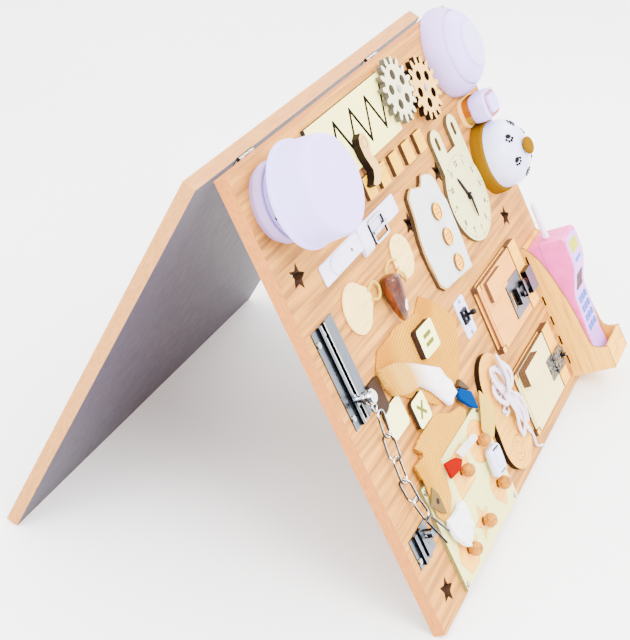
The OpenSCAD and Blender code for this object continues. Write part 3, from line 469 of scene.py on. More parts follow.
def holder():
    s = Mat("holder")
    g, f = fibres(s, s.P, 16, 190)
    gc = s.ramp(g, [(0.3, (0.486, 0.236, 0.0373)), (0.5, (0.88, 0.408, 0.0332)), (0.72, (0.88, 0.505, 0.0533))])
    g2 = s.noise((190, 14, 190), 5, 0.62)
    g3 = s.ramp(g2, [(0.3, (0.486, 0.236, 0.0373)), (0.5, (0.822, 0.411, 0.0502)), (0.72, (0.88, 0.505, 0.0533))])
    c = s.mix(s.side(0.3, 0.6), g3, gc)
    # scorched rims: the narrow edges of the two side plates
    rim = s.math("MAXIMUM", s.between(s.x, 0.529, 0.5325, 0.0002), s.between(s.x, 0.5935, 0.597, 0.0002))
    rim = s.math("MULTIPLY", rim, s.ramp(s.math("ABSOLUTE", s.nx), [(0.35, 1.0), (0.7, 0.0)]))
    c = s.mix(s.math("MULTIPLY", rim, 0.9), c, (0.022, 0.009, 0.004))
    s.bump(f, 0.08, 0.0003)
    return s.done(c, 0.5)


M["holder"] = holder()


def tile_tone(s, c):
    dark = s.between(s.radius(70.7, 270), -1, 0.0215, 0.0003)
    line = s.between(s.radius(66, 260), -1, 0.0075, 0.0004)
    c = s.mix(dark, c, (0.028, 0.014, 0.008))
    return s.mix(s.math("MULTIPLY", s.math("MULTIPLY", dark, line), 0.0), c, (0.5, 0.4, 0.2))


M["tile"] = plate("tile", (0.872, 0.88, 0.367), (0.0232, 0.0131, 0.00889), 0.15, extra=tile_tone)


def chrome_look(s, c):
    # painted highlight: the tops of the rail's two lips are painted near-white
    lip_highlight = s.math("MULTIPLY", s.between(s.z, 0.0036, 0.006, 0.0001), s.math("MAXIMUM", s.between(s.x, 0.0289, 0.0302, 0.0001), s.between(s.x, 0.0359, 0.0372, 0.0001)))
    return s.mix(lip_highlight, c, (0.861, 0.88, 0.863))


M["rail"] = metal("rail", (0.075, 0.085, 0.10), 0.2, extra=chrome_look, dark=0.35)
M["chrome"] = metal("chrome", (0.46, 0.47, 0.49), 0.14, dark=0.35)
M["link_steel"] = metal("link_steel", (0.42, 0.42, 0.42), 0.18, dark=0.3)
M["steel"] = metal("steel", (0.30, 0.30, 0.30), 0.3, dark=0.5)
M["galvanized"] = metal("galvanized", (0.10, 0.10, 0.115), 0.4, (200, 200, 200), dark=0.45, patina=0.3)
M["latch_dark"] = metal("latch_dark", (0.035, 0.035, 0.042), 0.35, (200, 200, 200), dark=0.5)


def antique():
    s = Mat("antique_silver")
    v = s.n("ShaderNodeTexVoronoi"); v.feature = "SMOOTH_F1"
    vec = s.shift(s.P, s.noise(160, 3), (0.004, 0.004, 0.0))
    s.l(s.scale(vec, (230, 230, 60)), v.inputs["Vector"]); v.inputs["Scale"].default_value = 1
    w = s.n("ShaderNodeTexWave"); w.wave_type = "RINGS"; w.rings_direction = "Z"
    s.l(s.scale(vec, (90, 90, 0)), w.inputs["Vector"]); w.inputs["Scale"].default_value = 2.1; w.inputs["Distortion"].default_value = 9
    w.inputs["Detail"].default_value = 2
    h = s.math("MULTIPLY", v.outputs[0], w.outputs[1])
    c = s.ramp(h, [(0.02, (0.00621, 0.00553, 0.00515)), (0.16, (0.0401, 0.0381, 0.0359)), (0.45, (0.41, 0.39, 0.352))])
    s.bump(h, 1.0, 0.0016); s.bump(s.noise(600, 3), 0.2, 0.0002)
    return s.done(c, 0.32, 0.9)


M["antique"] = antique()
M["leather"] = soft("leather", (0.651, 0.634, 0.844), 0.42, 700, 0.25, crease=0.15)


def rings_leather(s, c):
    n_ = s.noise((30, 260, 60), 4, 0.6, None, 1.2)
    return s.mix(s.math("MULTIPLY", s.ramp(n_, [(0.5, 0.0), (0.62, 1.0)]), 0.2), c, (0.192, 0.125, 0.0579))


M["patch"] = soft("patch", (0.88, 0.627, 0.225), 0.5, 500, 0.2, extra=rings_leather)
M["felt"] = soft("felt", (0.56, 0.60, 0.57), 0.85, 1400, 0.4, 0.15, 0.1)
M["white_cloth"] = soft("white_cloth", (0.80, 0.80, 0.88), 0.75, 1300, 0.3, 0.2, 0.6)


def horn():
    s = Mat("horn")
    a = s.noise((60, 25, 60), 5, 0.6, None, 1.5)
    c = s.ramp(a, [(0.3, (0.0129, 0.00289, 0.002)), (0.5, (0.054, 0.0113, 0.00459)), (0.7, (0.167, 0.0293, 0.00362))])
    tip = s.n("ShaderNodeMapRange"); tip.clamp = True; s.l(s.y, tip.inputs[0])
    tip.inputs[1].default_value = -0.222; tip.inputs[2].default_value = -0.236
    c = s.mix(s.math("MULTIPLY", tip.outputs[0], 0.5), c, (0.249, 0.0757, 0.00518))
    s.bump(a, 0.06, 0.0004)
    return s.done(c, 0.16, spec=0.25, Coat_Weight=0.12, Coat_Roughness=0.05)


M["horn"] = horn()


def turned():
    s = Mat("turned_wood")
    a = s.noise((50, 300, 300), 4, 0.6, None, 0.6)
    c = s.ramp(a, [(0.3, (0.144, 0.0536, 0.0154)), (0.5, (0.371, 0.137, 0.00466)), (0.72, (0.552, 0.204, 0.00557))])
    base = s.between(s.z, 0.0044, 0.0068, 0.0003)
    c = s.mix(s.math("MULTIPLY", base, 0.75), c, (0.0294, 0.0124, 0.00547))
    face = s.between(s.z, -0.01, 0.0045, 0.0002)
    g, f = fibres(s, s.P, 16, 190)
    fc = s.ramp(g, [(0.28, (0.552, 0.253, 0.0505)), (0.5, (0.88, 0.408, 0.0332)), (0.75, (0.88, 0.473, 0.0522))])
    fc = s.mix(s.side(0.3, 0.6), (0.043, 0.0231, 0.0124), fc)
    top = s.between(s.z, 0.00485, 0.0052, 0.0001)
    c = s.mix(s.math("MAXIMUM", face, s.math("MULTIPLY", top, s.side(0.85, 0.95))), c, fc)
    s.bump(a, 0.06, 0.0003)
    return s.done(c, 0.34, spec=0.12)


M["turned"] = turned()


def corners(s, c):
    m1 = s.between(s.radius(112, 246), -1, 0.024, 0.012)
    m2 = s.between(s.radius(232, 243), -1, 0.021, 0.006)
    mm = s.math("MAXIMUM", m1, m2)
    return s.mix(s.math("MULTIPLY", mm, 0.75), c, (0.371, 0.129, 0.002))


M["hessian"] = weave("hessian", (0.68, 0.31, 0.020), (0.20, 0.075, 0.004), 0.0042, corner=corners, slant=0.25, depth=0.75)


def low_corners(s, c):
    m1 = s.between(s.radius(66, 372), -1, 0.022, 0.008)
    return s.mix(s.math("MULTIPLY", m1, 0.7), c, (0.371, 0.167, 0.002))


M["hessian_low"] = weave("hessian_low", (0.70, 0.34, 0.026), (0.21, 0.08, 0.005), 0.0042, corner=low_corners, slant=0.6, depth=0.75)


def band_fade(s, c):
    f = s.n("ShaderNodeMapRange"); f.clamp = True; s.l(s.x, f.inputs[0])
    f.inputs[1].default_value = 0.130; f.inputs[2].default_value = 0.168
    c = s.mix(f.outputs[0], c, (0.88, 0.813, 0.878))
    g = s.between(s.x, 0.08, 0.098, 0.008)
    return s.mix(s.math("MULTIPLY", g, 0.7), c, (0.371, 0.142, 0.002))


M["band"] = weave("band", (0.66, 0.36, 0.055), (0.24, 0.11, 0.018), 0.0042, corner=band_fade, slant=0.35, depth=0.65)
M["ribbon"] = weave("ribbon", (0.852, 0.786, 0.734), (0.175, 0.154, 0.137), 0.0022, depth=0.4)
M["strap_tan"] = weave("strap_tan", (0.674, 0.435, 0.0599), (0.259, 0.157, 0.0406), 0.0020, depth=0.4, slant=0.1)
M["tongue"] = plate("tongue", (0.124, 0.0715, 0.0162), (0.0351, 0.022, 0.00902), 0.8)
# painted shade colour for the fold next to the blue cap
M["fold_shade_brown"] = soft("fold_shade_brown", (0.0727, 0.0419, 0.0207), 0.7, 900, 0.3)
M["lace"] = weave("lace", (0.88, 0.749, 0.876), (0.248, 0.201, 0.246), 0.0011, depth=0.3)
M["blue_cap"] = plastic("blue_cap", (0.0004, 0.026, 0.13), 0.3, spec=0.0)
M["red_cap"] = plastic("red_cap", (0.19, 0.0012, 0.0004), 0.3, spec=0.0)
M["pink"] = plastic("pink", (0.80, 0.06, 0.32), 0.3, spec=0.08)
M["phone_face"] = plastic("phone_face", (0.545, 0.26, 0.793), 0.30, 0.05)
M["phone_yellow"] = plastic("phone_yellow", (0.453, 0.424, 0.002), 0.25)
M["phone_key"] = plastic("phone_key", (0.069, 0.125, 0.503), 0.3)
M["maroon"] = plastic("maroon", (0.0711, 0.0164, 0.0237), 0.5)
M["antenna"] = plastic("antenna", (0.785, 0.659, 0.88), 0.3, 0.1)


# ------------------------------------------------------------------ geometry helpers
def give(o, *mats):
    o.data.materials.clear()
    for k in mats:
        o.data.materials.append(M[k])


def shade(o, angle=35):
    for p in o.data.polygons:
        p.use_smooth = True


def soften(node, width=0.0004, seg=2, angle=32):
    """Small rounded edges on a CAD node, by modifiers only"""
    o = N[node]
    w = o.modifiers.new("weld", "WELD"); w.merge_threshold = 1e-6
    b = o.modifiers.new("round", "BEVEL")
    b.width = width; b.segments = seg; b.limit_method = "ANGLE"; b.angle_limit = math.radians(angle)
    b.harden_normals = False; b.use_clamp_overlap = True; b.miter_outer = "MITER_ARC"
    return o


def piece(name, verts, faces, mat, body, replaces=(), smooth=True, base=BOARD, local=True):
    me = bpy.data.meshes.new(name)
    me.from_pydata([base @ Vector(v) if local else Vector(v) for v in verts], [], faces)
    me.validate(); me.update()
    bm = bmesh.new(); bm.from_mesh(me)
    bmesh.ops.remove_doubles(bm, verts=bm.verts, dist=1e-7)
    bmesh.ops.recalc_face_normals(bm, faces=bm.faces)
    bm.to_mesh(me); bm.free()
    o = bpy.data.objects.new(name, me)
    bpy.context.scene.collection.objects.link(o)
    me.materials.append(M[mat])
    if smooth:
        for p in me.polygons:
            p.use_smooth = True
    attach(o, body)
    if replaces:
        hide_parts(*replaces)
    return o


def spline(pts, k):
    """Points of a smooth line through pts"""
    p = [np.array(q, float) for q in pts]
    out = []
    for i in range(len(p) - 1):
        a, b, c, d = p[max(i - 1, 0)], p[i], p[i + 1], p[min(i + 2, len(p) - 1)]
        for j in range(k):
            t = j / k
            out.append(0.5 * (2 * b + (c - a) * t + (2 * a - 5 * b + 4 * c - d) * t * t + (3 * b - a - 3 * c + d) * t ** 3))
    out.append(p[-1])
    return out


def lathe(name, prof, centre, mat, body, replaces=(), seg=128, axis="n", smooth=True):
    """Turned piece from a closed or open profile of (radius, height) in mm about a line at centre=(u, v[, h])"""
    verts, faces = [], []
    n = len(prof)
    for i in range(seg):
        a = 2 * math.pi * i / seg
        for r, h in prof:
            if axis == "n":
                verts.append(((centre[0] + r * math.cos(a)) / 1000, (-centre[1] + r * math.sin(a)) / 1000, h / 1000))
    for i in range(seg):
        j = (i + 1) % seg
        for k in range(n - 1):
            faces.append((i * n + k, j * n + k, j * n + k + 1, i * n + k + 1))
    o = piece(name, verts, faces, mat, body, replaces, smooth)
    return o


def rounded(prof, rads, k=5):
    """Rounds the corners of an open profile: rads gives a radius for each point"""
    out = []
    for i, p in enumerate(prof):
        r = rads[i] if i < len(rads) else 0
        if i in (0, len(prof) - 1) or r == 0:
            out.append(tuple(p)); continue
        a, b, c = np.array(prof[i - 1], float), np.array(p, float), np.array(prof[i + 1], float)
        u, w = a - b, c - b
        lu, lw = np.linalg.norm(u), np.linalg.norm(w)
        t = min(r, lu * 0.49, lw * 0.49)
        s_, e_ = b + u / lu * t, b + w / lw * t
        for j in range(k + 1):
            q = j / k
            out.append(tuple((1 - q) ** 2 * s_ + 2 * q * (1 - q) * b + q * q * e_))
    return out


def box_piece(name, u, v, h, w, d, t, mat, body, r=0.8, turn=0, corner=None, replaces=()):
    """Rounded box centred at u, v with its foot at h: a rounded outline, with a rounded top edge"""
    corner = min(w, d) * 0.2 if corner is None else corner
    ring = []
    for cx_, cy_, a0 in ((1, 1, 0), (-1, 1, 90), (-1, -1, 180), (1, -1, 270)):
        for k in range(6):
            a = math.radians(a0 + 90 * k / 5)
            ring.append((cx_ * (w / 2 - corner), cy_ * (d / 2 - corner), math.cos(a), math.sin(a)))
    r = min(r, t * 0.49, corner if corner > 0.05 else 0.05)
    levels = [(0, 0.0)] + [(t - r + r * math.sin(q), r * (1 - math.cos(q))) for q in (0, math.pi / 8, math.pi / 4, 3 * math.pi / 8, math.pi / 2)]
    ct, st = math.cos(math.radians(turn)), math.sin(math.radians(turn))
    verts, faces = [], []
    n = len(ring)
    for z, inset in levels:
        for x, y, c, s_ in ring:
            px, py = x + (corner - inset) * c, y + (corner - inset) * s_
            verts.append(((u + px * ct - py * st) / 1000, (-v + px * st + py * ct) / 1000, (h + z) / 1000))
    for k in range(len(levels) - 1):
        for i in range(n):
            j = (i + 1) % n
            faces.append((k * n + i, k * n + j, (k + 1) * n + j, (k + 1) * n + i))
    faces.append(tuple(range(n - 1, -1, -1)))
    faces.append(tuple((len(levels) - 1) * n + i for i in range(n)))
    o = piece(name, verts, faces, mat, body, replaces)
    return o


def tube_piece(name, pts, r, mat, body, sides=10, closed=False, replaces=(), flat=1.0):
    """A round or flattened wire along points given in board mm"""
    P = [np.array((p[0], -p[1], p[2])) / 1000 for p in pts]
    m_ = len(P)
    verts, faces = [], []
    up = np.array((0, 0, 1.0))
    for i in range(m_):
        t = P[(i + 1) % m_] - P[i - 1] if closed else P[min(i + 1, m_ - 1)] - P[max(i - 1, 0)]
        t /= np.linalg.norm(t) + 1e-12
        a = np.cross(t, up)
        if np.linalg.norm(a) < 0.2:
            a = np.cross(t, (1, 0, 0))
        a /= np.linalg.norm(a); b = np.cross(t, a)
        for k in range(sides):
            q = 2 * math.pi * k / sides
            verts.append(P[i] + (r / 1000) * (math.cos(q) * a + flat * math.sin(q) * b))
    rings = m_ if closed else m_ - 1
    for i in range(rings):
        for k in range(sides):
            j, l = (i + 1) % m_, (k + 1) % sides
            faces.append((i * sides + k, i * sides + l, j * sides + l, j * sides + k))
    if not closed:
        faces.append(tuple(range(sides - 1, -1, -1)))
        faces.append(tuple((m_ - 1) * sides + k for k in range(sides)))
    return piece(name, verts, faces, mat, body, replaces)


def soft_solid(name, outline, h0, h1, mat, body, voxel=1.3, smooth=10, bulge=None, replaces=()):
    """A soft, round-edged solid from an outline in board mm, remeshed and smoothed; bulge(u, v, t) moves the upper surface, in mm"""
    n = len(outline)
    verts = [(p[0] / 1000, -p[1] / 1000, h0 / 1000) for p in outline] + [(p[0] / 1000, -p[1] / 1000, h1 / 1000) for p in outline]
    faces = [tuple(range(n)), tuple(range(2 * n - 1, n - 1, -1))] + [(i, (i + 1) % n, n + (i + 1) % n, n + i) for i in range(n)]
    me = bpy.data.meshes.new(name)
    me.from_pydata(verts, [], faces)
    bm = bmesh.new(); bm.from_mesh(me); bmesh.ops.recalc_face_normals(bm, faces=bm.faces); bmesh.ops.triangulate(bm, faces=bm.faces); bm.to_mesh(me); bm.free()
    o = bpy.data.objects.new(name, me)
    bpy.context.scene.collection.objects.link(o)
    r = o.modifiers.new("r", "REMESH"); r.mode = "VOXEL"; r.voxel_size = voxel / 1000; r.use_smooth_shade = True
    s_ = o.modifiers.new("s", "SMOOTH"); s_.iterations = smooth; s_.factor = 0.5
    bpy.context.view_layer.update()
    ev = o.evaluated_get(bpy.context.evaluated_depsgraph_get())
    me2 = bpy.data.meshes.new_from_object(ev)
    o.modifiers.clear()
    o.data = me2
    co = np.zeros(len(me2.vertices) * 3); me2.vertices.foreach_get("co", co); co = co.reshape(-1, 3)
    if bulge is not None:
        z = co[:, 2] * 1000
        t = np.clip((z - h0) / max(h1 - h0, 1e-6), 0, 1)
        co[:, 2] += bulge(co[:, 0] * 1000, -co[:, 1] * 1000, t) / 1000
    R = np.array(BOARD)
    co = co @ R[:3, :3].T + R[:3, 3]
    me2.vertices.foreach_set("co", co.ravel()); me2.update()
    me2.materials.clear(); me2.materials.append(M[mat])
    for p in me2.polygons:
        p.use_smooth = True
    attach(o, body)
    if replaces:
        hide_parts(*replaces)
    return o


def text_piece(name, body_text, size, u, v, h, mat, body, turn=0.0, thick=0.25, bold=0.0):
    c = bpy.data.curves.new(name, "FONT"); c.body = body_text; c.size = size / 1000; c.extrude = thick / 2000; c.offset = bold / 1000
    c.align_x = "CENTER"; c.align_y = "CENTER"
    o = bpy.data.objects.new(name, c)
    bpy.context.scene.collection.objects.link(o)
    bpy.context.view_layer.update()
    me = bpy.data.meshes.new_from_object(o.evaluated_get(bpy.context.evaluated_depsgraph_get()))
    bpy.data.objects.remove(o)
    me.transform(BOARD @ Matrix.Translation((u / 1000, -v / 1000, (h + thick / 2) / 1000)) @ Matrix.Rotation(math.radians(turn), 4, "Z"))
    o = bpy.data.objects.new(name, me)
    bpy.context.scene.collection.objects.link(o)
    me.materials.clear(); me.materials.append(M[mat])
    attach(o, body)
    return o


# ------------------------------------------------------------------ CAD nodes: materials and rounded edges
looks = {
    "front_board": ("wood_front", 0.5), "back_board": ("wood_back", 0.6), "back_sheet": ("laminate", 0.15),
    "hinge_leaves_front": ("steel", 0.15), "hinge_leaves_back": ("steel", 0.15), "steel_fasteners": ("steel", 0.15),
    "zigzag_plate": ("zigzag_cream", 0.35), "zigzag_slider": ("slider_wood", 0.4), "gear_white": ("gear_white", 0.3), "gear_wood": ("gear_wood", 0.3),
    "letter_blocks": ("letter", 0.4), "leather_straps": ("leather", 0.5), "buckle_frame": ("chrome", 0.6), "buckle_prong": ("chrome", 0.5),
    "vest_plate": ("vest_wood", 0.4), "vest_buttons": ("button_wood", 0.4), "clock_plate": ("cream", 0.5), "hour_hand": ("hand", 0.2), "minute_hand": ("hand", 0.2),
    "press_base": ("orange_plastic", 0.8), "press_cap": ("white_plastic", 2.2), "press_button": ("white_plastic", 1.0),
    "chain_plates": ("rail", 0.25), "chain_slider": ("chrome", 0.5), "chain_links": ("link_steel", 0),
    "math_tiles": ("tile", 0.7), "switch_plate": ("white_plastic", 0.4), "switch_lever": ("black_plastic", 0.4), "shoe_plate": ("shoe", 0.4),
    "door_frames": ("frame_ply", 0.4), "door_one": ("door_one", 0.4), "door_two": ("door_two", 0.4), "latch_plate": ("galvanized", 0.4), "latch_bolt": ("latch_dark", 0.5),
    "hasp_base": ("antique", 0.3), "hasp_plate": ("antique", 0.35), "latch_keepers": ("galvanized", 0.4), "phone_holder": ("holder", 0.3),
    "puzzle_plate": ("puzzle_cream", 0.3), "puzzle_square": ("turned", 0.3), "puzzle_circle": ("turned", 0.3), "puzzle_hexagon": ("turned", 0.3),
    "puzzle_star": ("turned", 0.3), "puzzle_shield": ("turned", 0.3), "toy_phone": ("pink", 2.0),
}
for node, (mat, width) in looks.items():
    give(N[node], mat)
    if width:
        soften(node, width / 1000)


# black rocker foot on the white switch plate, and its dark screws
def switch_marks():
    s = Mat("switch_look")
    a = s.noise(60, 3); sc = s.noise((300, 300, 300), 3)
    c = s.ramp(a, [(0.3, (0.524, 0.586, 0.88)), (0.7, (0.62, 0.662, 0.88))])
    c = s.mix(s.between(s.z, 0.0017, 0.02, 0.0001), c, (0.00552, 0.00535, 0.00619))
    scuff = s.math("MULTIPLY", s.ramp(sc, [(0.56, 0.0), (0.62, 1.0)]), s.between(s.radius(312, 318), -1, 0.012, 0.003))
    c = s.mix(s.math("MULTIPLY", scuff, 0.7), c, (0.0088, 0.00878, 0.0106))
    s.bump(a, 0.1, 0.0005)
    return s.done(c, 0.35)


M["switch_look"] = switch_marks()
give(N["switch_plate"], "switch_look")

# ------------------------------------------------------------------ lamps and bell, turned smoothly
lathe("lamp_shell", rounded([(0, 70.6), (44.5, 70.6), (46.6, 67.5), (47.4, 34.5), (33, 34), (33, 6), (35.6, 6), (35.6, 31), (53, 31), (53, 36.3), (50.2, 36.8), (49, 66), (46.5, 73.5), (0, 73.5)],
      [0, 2, 2, 2, 1, 0.4, 0.4, 1.5, 1.4, 1.6, 1.2, 7, 6.5, 0]), (51, 48.3), "lamp_head", "lamp_head", ("lamp_cap",))
lathe("lamp_foot", rounded([(0, 3), (36.2, 3), (36.2, 16), (40.2, 16), (40.2, 5.5), (37, 5.2), (37, 0), (0, 0)], [0, 0.5, 0.8, 1.6, 1.5, 0.6, 0.3, 0]), (51, 48.3), "lamp_base", "front", ("lamp_base",))
lathe("dome_foot", rounded([(0, 2.6), (53.4, 2.6), (53.4, 9), (53, 13.5), (50, 19), (46.6, 23.4), (46.4, 26.4), (47.4, 26.7), (50.6, 23.2), (53.6, 17.8), (55.4, 12), (56, 6), (55.6, 1), (55, 0), (0, 0)],
      [0, 1, 2, 3, 3, 0.3, 0.5, 1.5, 3, 3, 3, 2, 0.6, 0.4, 0]), (541, 48), "dome_base", "front", ("dome_base",))
dome = spline([(46, 14), (46, 22), (45.8, 29), (43.6, 32.6), (39.6, 36.2), (34, 39.4), (29.4, 41.2)], 4)[:-1] + spline([(29.4, 41.2), (28.4, 42.4), (26.4, 43.4), (20, 44.9), (12, 46), (5, 46.4), (0, 46.5)], 4)
lathe("dome_glow", [tuple(p) for p in dome] + [(0, 43.8), (11, 43), (23, 40.6), (33, 36.6), (42.6, 30), (44, 28), (44, 14), (46, 14)], (541, 48), "dome_lens", "dome_head", ("dome_lens",))
lathe("bell_cup", rounded([(0, 3), (43, 3), (43, 16), (44.9, 16), (46.2, 14), (47, 5), (47, 0), (0, 0)], [0, 0.3, 0.3, 0.9, 1.5, 2, 0.4, 0]), (544, 190.5), "yellow_plastic", "front", ("bell_ring",))
bell = spline([(42.7, 3), (42.7, 12), (42.7, 22), (41.5, 30), (37.5, 38), (30, 45), (20, 49.4), (11, 51), (5.1, 51)], 5)
lathe("bell_shell", [tuple(p) for p in bell] + [(5.1, 49.2), (8, 49.2), (19.4, 47.6), (28.8, 43.4), (36, 36.8), (39.7, 29.4), (40.9, 22), (40.9, 3), (42.7, 3)], (544, 190.5), "bell_white", "front", ("bell_dome",))
lathe("bell_knob", rounded([(0, 30), (3, 30), (3, 28), (8, 28), (8, 25), (0, 25)], [0] * 6)[::-1][:0] + rounded([(0, 60.6), (8.4, 60.4), (11, 58.4), (11, 54.6), (10, 53.6), (4.9, 53.4), (4.9, 30), (3, 30), (3, 28), (8, 28), (8, 25), (0, 25)],
      [0, 2.5, 2, 1, 0.6, 0.3, 0.2, 0, 0, 0.3, 0.3, 0]), (544, 190.5), "yellow_plastic", "bell_push", ("bell_button",), seg=64)


def on_bell(a, r):
    """Point on the bell's shell at angle a (degrees, in the board's plane) and radius r from its axis, with the height"""
    prof_ = sorted((float(p[0]), float(p[1])) for p in bell if p[1] >= 22)
    h = np.interp(r, [p[0] for p in prof_], [p[1] for p in prof_])
    return (544 + r * math.cos(math.radians(a)), 190.5 - r * math.sin(math.radians(a)), h)


# five generic paw prints: a pad and four toes, each a thin disc laid on the shell
def paw(name, a, r, turn):
    o_ = Vector(on_bell(a, r)); p1 = Vector(on_bell(a, r + 1)); p2 = Vector(on_bell(a + 1, r))
    e1 = (p1 - o_).normalized(); e2 = (p2 - o_).normalized(); e1.y *= 1
    q = math.radians(turn)
    x_, y_ = math.cos(q) * e1 + math.sin(q) * e2, -math.sin(q) * e1 + math.cos(q) * e2
    nn = x_.cross(y_)
    if nn.z < 0:
        nn = -nn
    verts, faces = [], []
    for cx_, cy_, ra, rb in ((0, -1.9, 3.9, 3.0), (-4.9, 1.7, 1.35, 1.9), (-1.9, 4.4, 1.4, 2.0), (1.9, 4.4, 1.4, 2.0), (4.9, 1.7, 1.35, 1.9)):
        k0 = len(verts)
        for lev in (-0.9, 0.8):
            for k in range(14):
                b = 2 * math.pi * k / 14
                c = o_ + x_ * (cx_ + ra * math.cos(b)) + y_ * (cy_ + rb * math.sin(b)) + nn * lev
                verts.append((c.x / 1000, -c.y / 1000, c.z / 1000))
        faces.append(tuple(k0 + 14 + k for k in range(14)))
        faces += [(k0 + k, k0 + (k + 1) % 14, k0 + 14 + (k + 1) % 14, k0 + 14 + k) for k in range(14)]
    return piece(name, verts, faces, "ink_black", "front", smooth=False)


for i, (a_, r_, t_) in enumerate(((198, 27, 20), (262, 31, -10), (135, 30, 30), (75, 33, 0), (20, 33, 10), (320, 33, 40))):
    paw("paw_%d" % i, a_, r_, t_)

# small dark catch on the lamp's neck
box_piece("lamp_catch", 51 - 35.9, 48.3 + 6, 19, 0.9, 3.0, 4.0, "ink_black", "lamp_head", 0.2, corner=0.2)

# ------------------------------------------------------------------ zigzag track, clock, press button
zz = [(189 + i * 21.4, 66 if i % 2 == 0 else 24) for i in range(8)]
vz, fz = [], []
for i in range(7):
    a, b = np.array(zz[i]), np.array(zz[i + 1])
    d = (b - a) / np.linalg.norm(b - a); nrm_ = np.array((-d[1], d[0])) * 5.0
    k0 = len(vz)
    for p in (a - nrm_ - d * 2, b - nrm_ + d * 2, b + nrm_ + d * 2, a + nrm_ - d * 2):
        vz.append((p[0] / 1000, -p[1] / 1000, (0.06 + 0.01 * (i % 2)) / 1000))
    fz.append((k0, k0 + 1, k0 + 2, k0 + 3))
piece("track_floor", vz, fz, "track", "front", smooth=False)

for i in range(1, 13):
    a = math.radians(90 - 30 * i)
    text_piece("numeral_%d" % i, str(i), 9.6, 439 + 42 * math.cos(a), 202 - 42 * math.sin(a), 5.0, "ink_black", "front", 0, 0.15, 0.28)
vt, ft = [], []
for i in range(60):
    a = math.radians(6 * i); L, w_ = (4.0, 0.8) if i % 5 == 0 else (2.2, 0.4)
    c_, s__ = math.cos(a), math.sin(a); k0 = len(vt)
    for r_, q in ((52 - L, -w_), (52, -w_), (52, w_), (52 - L, w_)):
        vt.append(((439 + r_ * c_ - q * s__) / 1000, (-202 + r_ * s__ + q * c_) / 1000, 0.00508))
    ft.append((k0, k0 + 1, k0 + 2, k0 + 3))
piece("minute_marks", vt, ft, "ink", "front", smooth=False)

ring = []
for cx_, cy_, a0 in ((1, 1, 0), (-1, 1, 90), (-1, -1, 180), (1, -1, 270)):
    for k in range(9):
        a = math.radians(a0 + 90 * k / 8)
        ring.append((541 + cx_ * 7.6 + 8.2 * math.cos(a), 124.6 - (cy_ * 5.6 + 8.2 * math.sin(a)), 34.3))
tube_piece("press_c_ring", ring[3:-3], 1.25, "ring_orange", "front", 8, flat=0.45)

# ------------------------------------------------------------------ symbols on the math tiles
t3 = math.radians(-3)
for i, dv in enumerate((-4.6, 4.6)):
    box_piece("equals_%d" % i, 198 + dv * math.sin(t3), 273 + dv, 10.25, 19, 4.6, 0.35, "olive", "front", 0.15, -3, 0.6)
for i, turn in enumerate((45, -45)):
    box_piece("times_%d" % i, 128, 321, 7.65 + 0.02 * i, 21, 3.8, 0.35, "olive", "front", 0.15, turn, 0.6)

# ------------------------------------------------------------------ phone
face_v = [322, 340, 360, 375, 390, 400, 430, 466, 482, 494]
face_h = [54, 54.5, 53, 47.5, 41.5, 39, 38, 36, 38, 38]


def on_face(v):
    return float(np.interp(v, face_v, face_h))


def face_panel(name, u0, u1, v0, v1, lift, mat, k=14, m_=10, crn=3.0):
    """A thin panel that follows the phone's curved front"""
    verts, faces = [], []
    for i in range(k + 1):
        v = v0 + (v1 - v0) * i / k
        ins = 0.0
        for e_ in (v - v0, v1 - v):
            if e_ < crn:
                ins = max(ins, crn - math.sqrt(max(crn * crn - (crn - e_) ** 2, 0)))
        for j in range(m_ + 1):
            t = j / m_
            edge = min(1.0, 4 * min(t, 1 - t) + 0.001)
            u = u0 + ins + (u1 - u0 - 2 * ins) * t
            ee = min(1.0, min(v - v0, v1 - v, u - u0, u1 - u) / 1.2 + 0.05)
            verts.append((u / 1000, -v / 1000, (on_face(v) + lift * math.sqrt(max(ee, 0.0))) / 1000))
    for i in range(k):
        for j in range(m_):
            a = i * (m_ + 1) + j
            faces.append((a, a + 1, a + m_ + 2, a + m_ + 1))
    return piece(name, verts, faces, mat, "phone")


face_panel("phone_front", 540.2, 584.8, 322, 493, 0.7, "phone_face", 60, 12, 6)
face_panel("phone_display", 546, 579, 328, 345, 1.7, "phone_yellow", 14, 10, 3)
face_panel("phone_slot", 549, 576, 352, 358, 1.1, "phone_key", 8, 10, 2)
# painted shade: a maroon panel where the phone's front slopes down between the slot and the keys
face_panel("phone_slope_shade", 547, 578, 372, 396, 1.0, "maroon", 16, 10, 7)
for r in range(4):
    for c in range(3):
        face_panel("phone_key_%d_%d" % (r, c), 547 + c * 11.3, 556 + c * 11.3, 404 + r * 13.2, 413 + r * 13.2, 2.4, "phone_key", 8, 8, 3)


def aerial():
    s = Mat("phone_body")
    a = s.noise(38, 3)
    c = s.ramp(a, [(0.3, (0.647, 0.0713, 0.304)), (0.7, (0.88, 0.0938, 0.428))])
    tip = s.n("ShaderNodeMapRange"); tip.clamp = True; s.l(s.y, tip.inputs[0])
    tip.inputs[1].default_value = -0.3165; tip.inputs[2].default_value = -0.316
    c = s.mix(tip.outputs[0], c, (0.785, 0.659, 0.88))
    seam = s.between(s.z, 0.0195, 0.0205, 0.0003)
    c = s.mix(s.math("MULTIPLY", seam, 0.5), c, (0.151, 0.0343, 0.0835))
    s.bump(a, 0.05, 0.0006)
    return s.done(c, 0.3, spec=0.1)


M["phone_body"] = aerial()
give(N["toy_phone"], "phone_body")

# dark tab slots along the holder's foot
for i in range(6):
    box_piece("holder_tab_%d" % i, 529.9, 332 + i * 29, 0.6, 0.5, 13, 2.2, "hand", "front", 0.1, 0, 0.1)

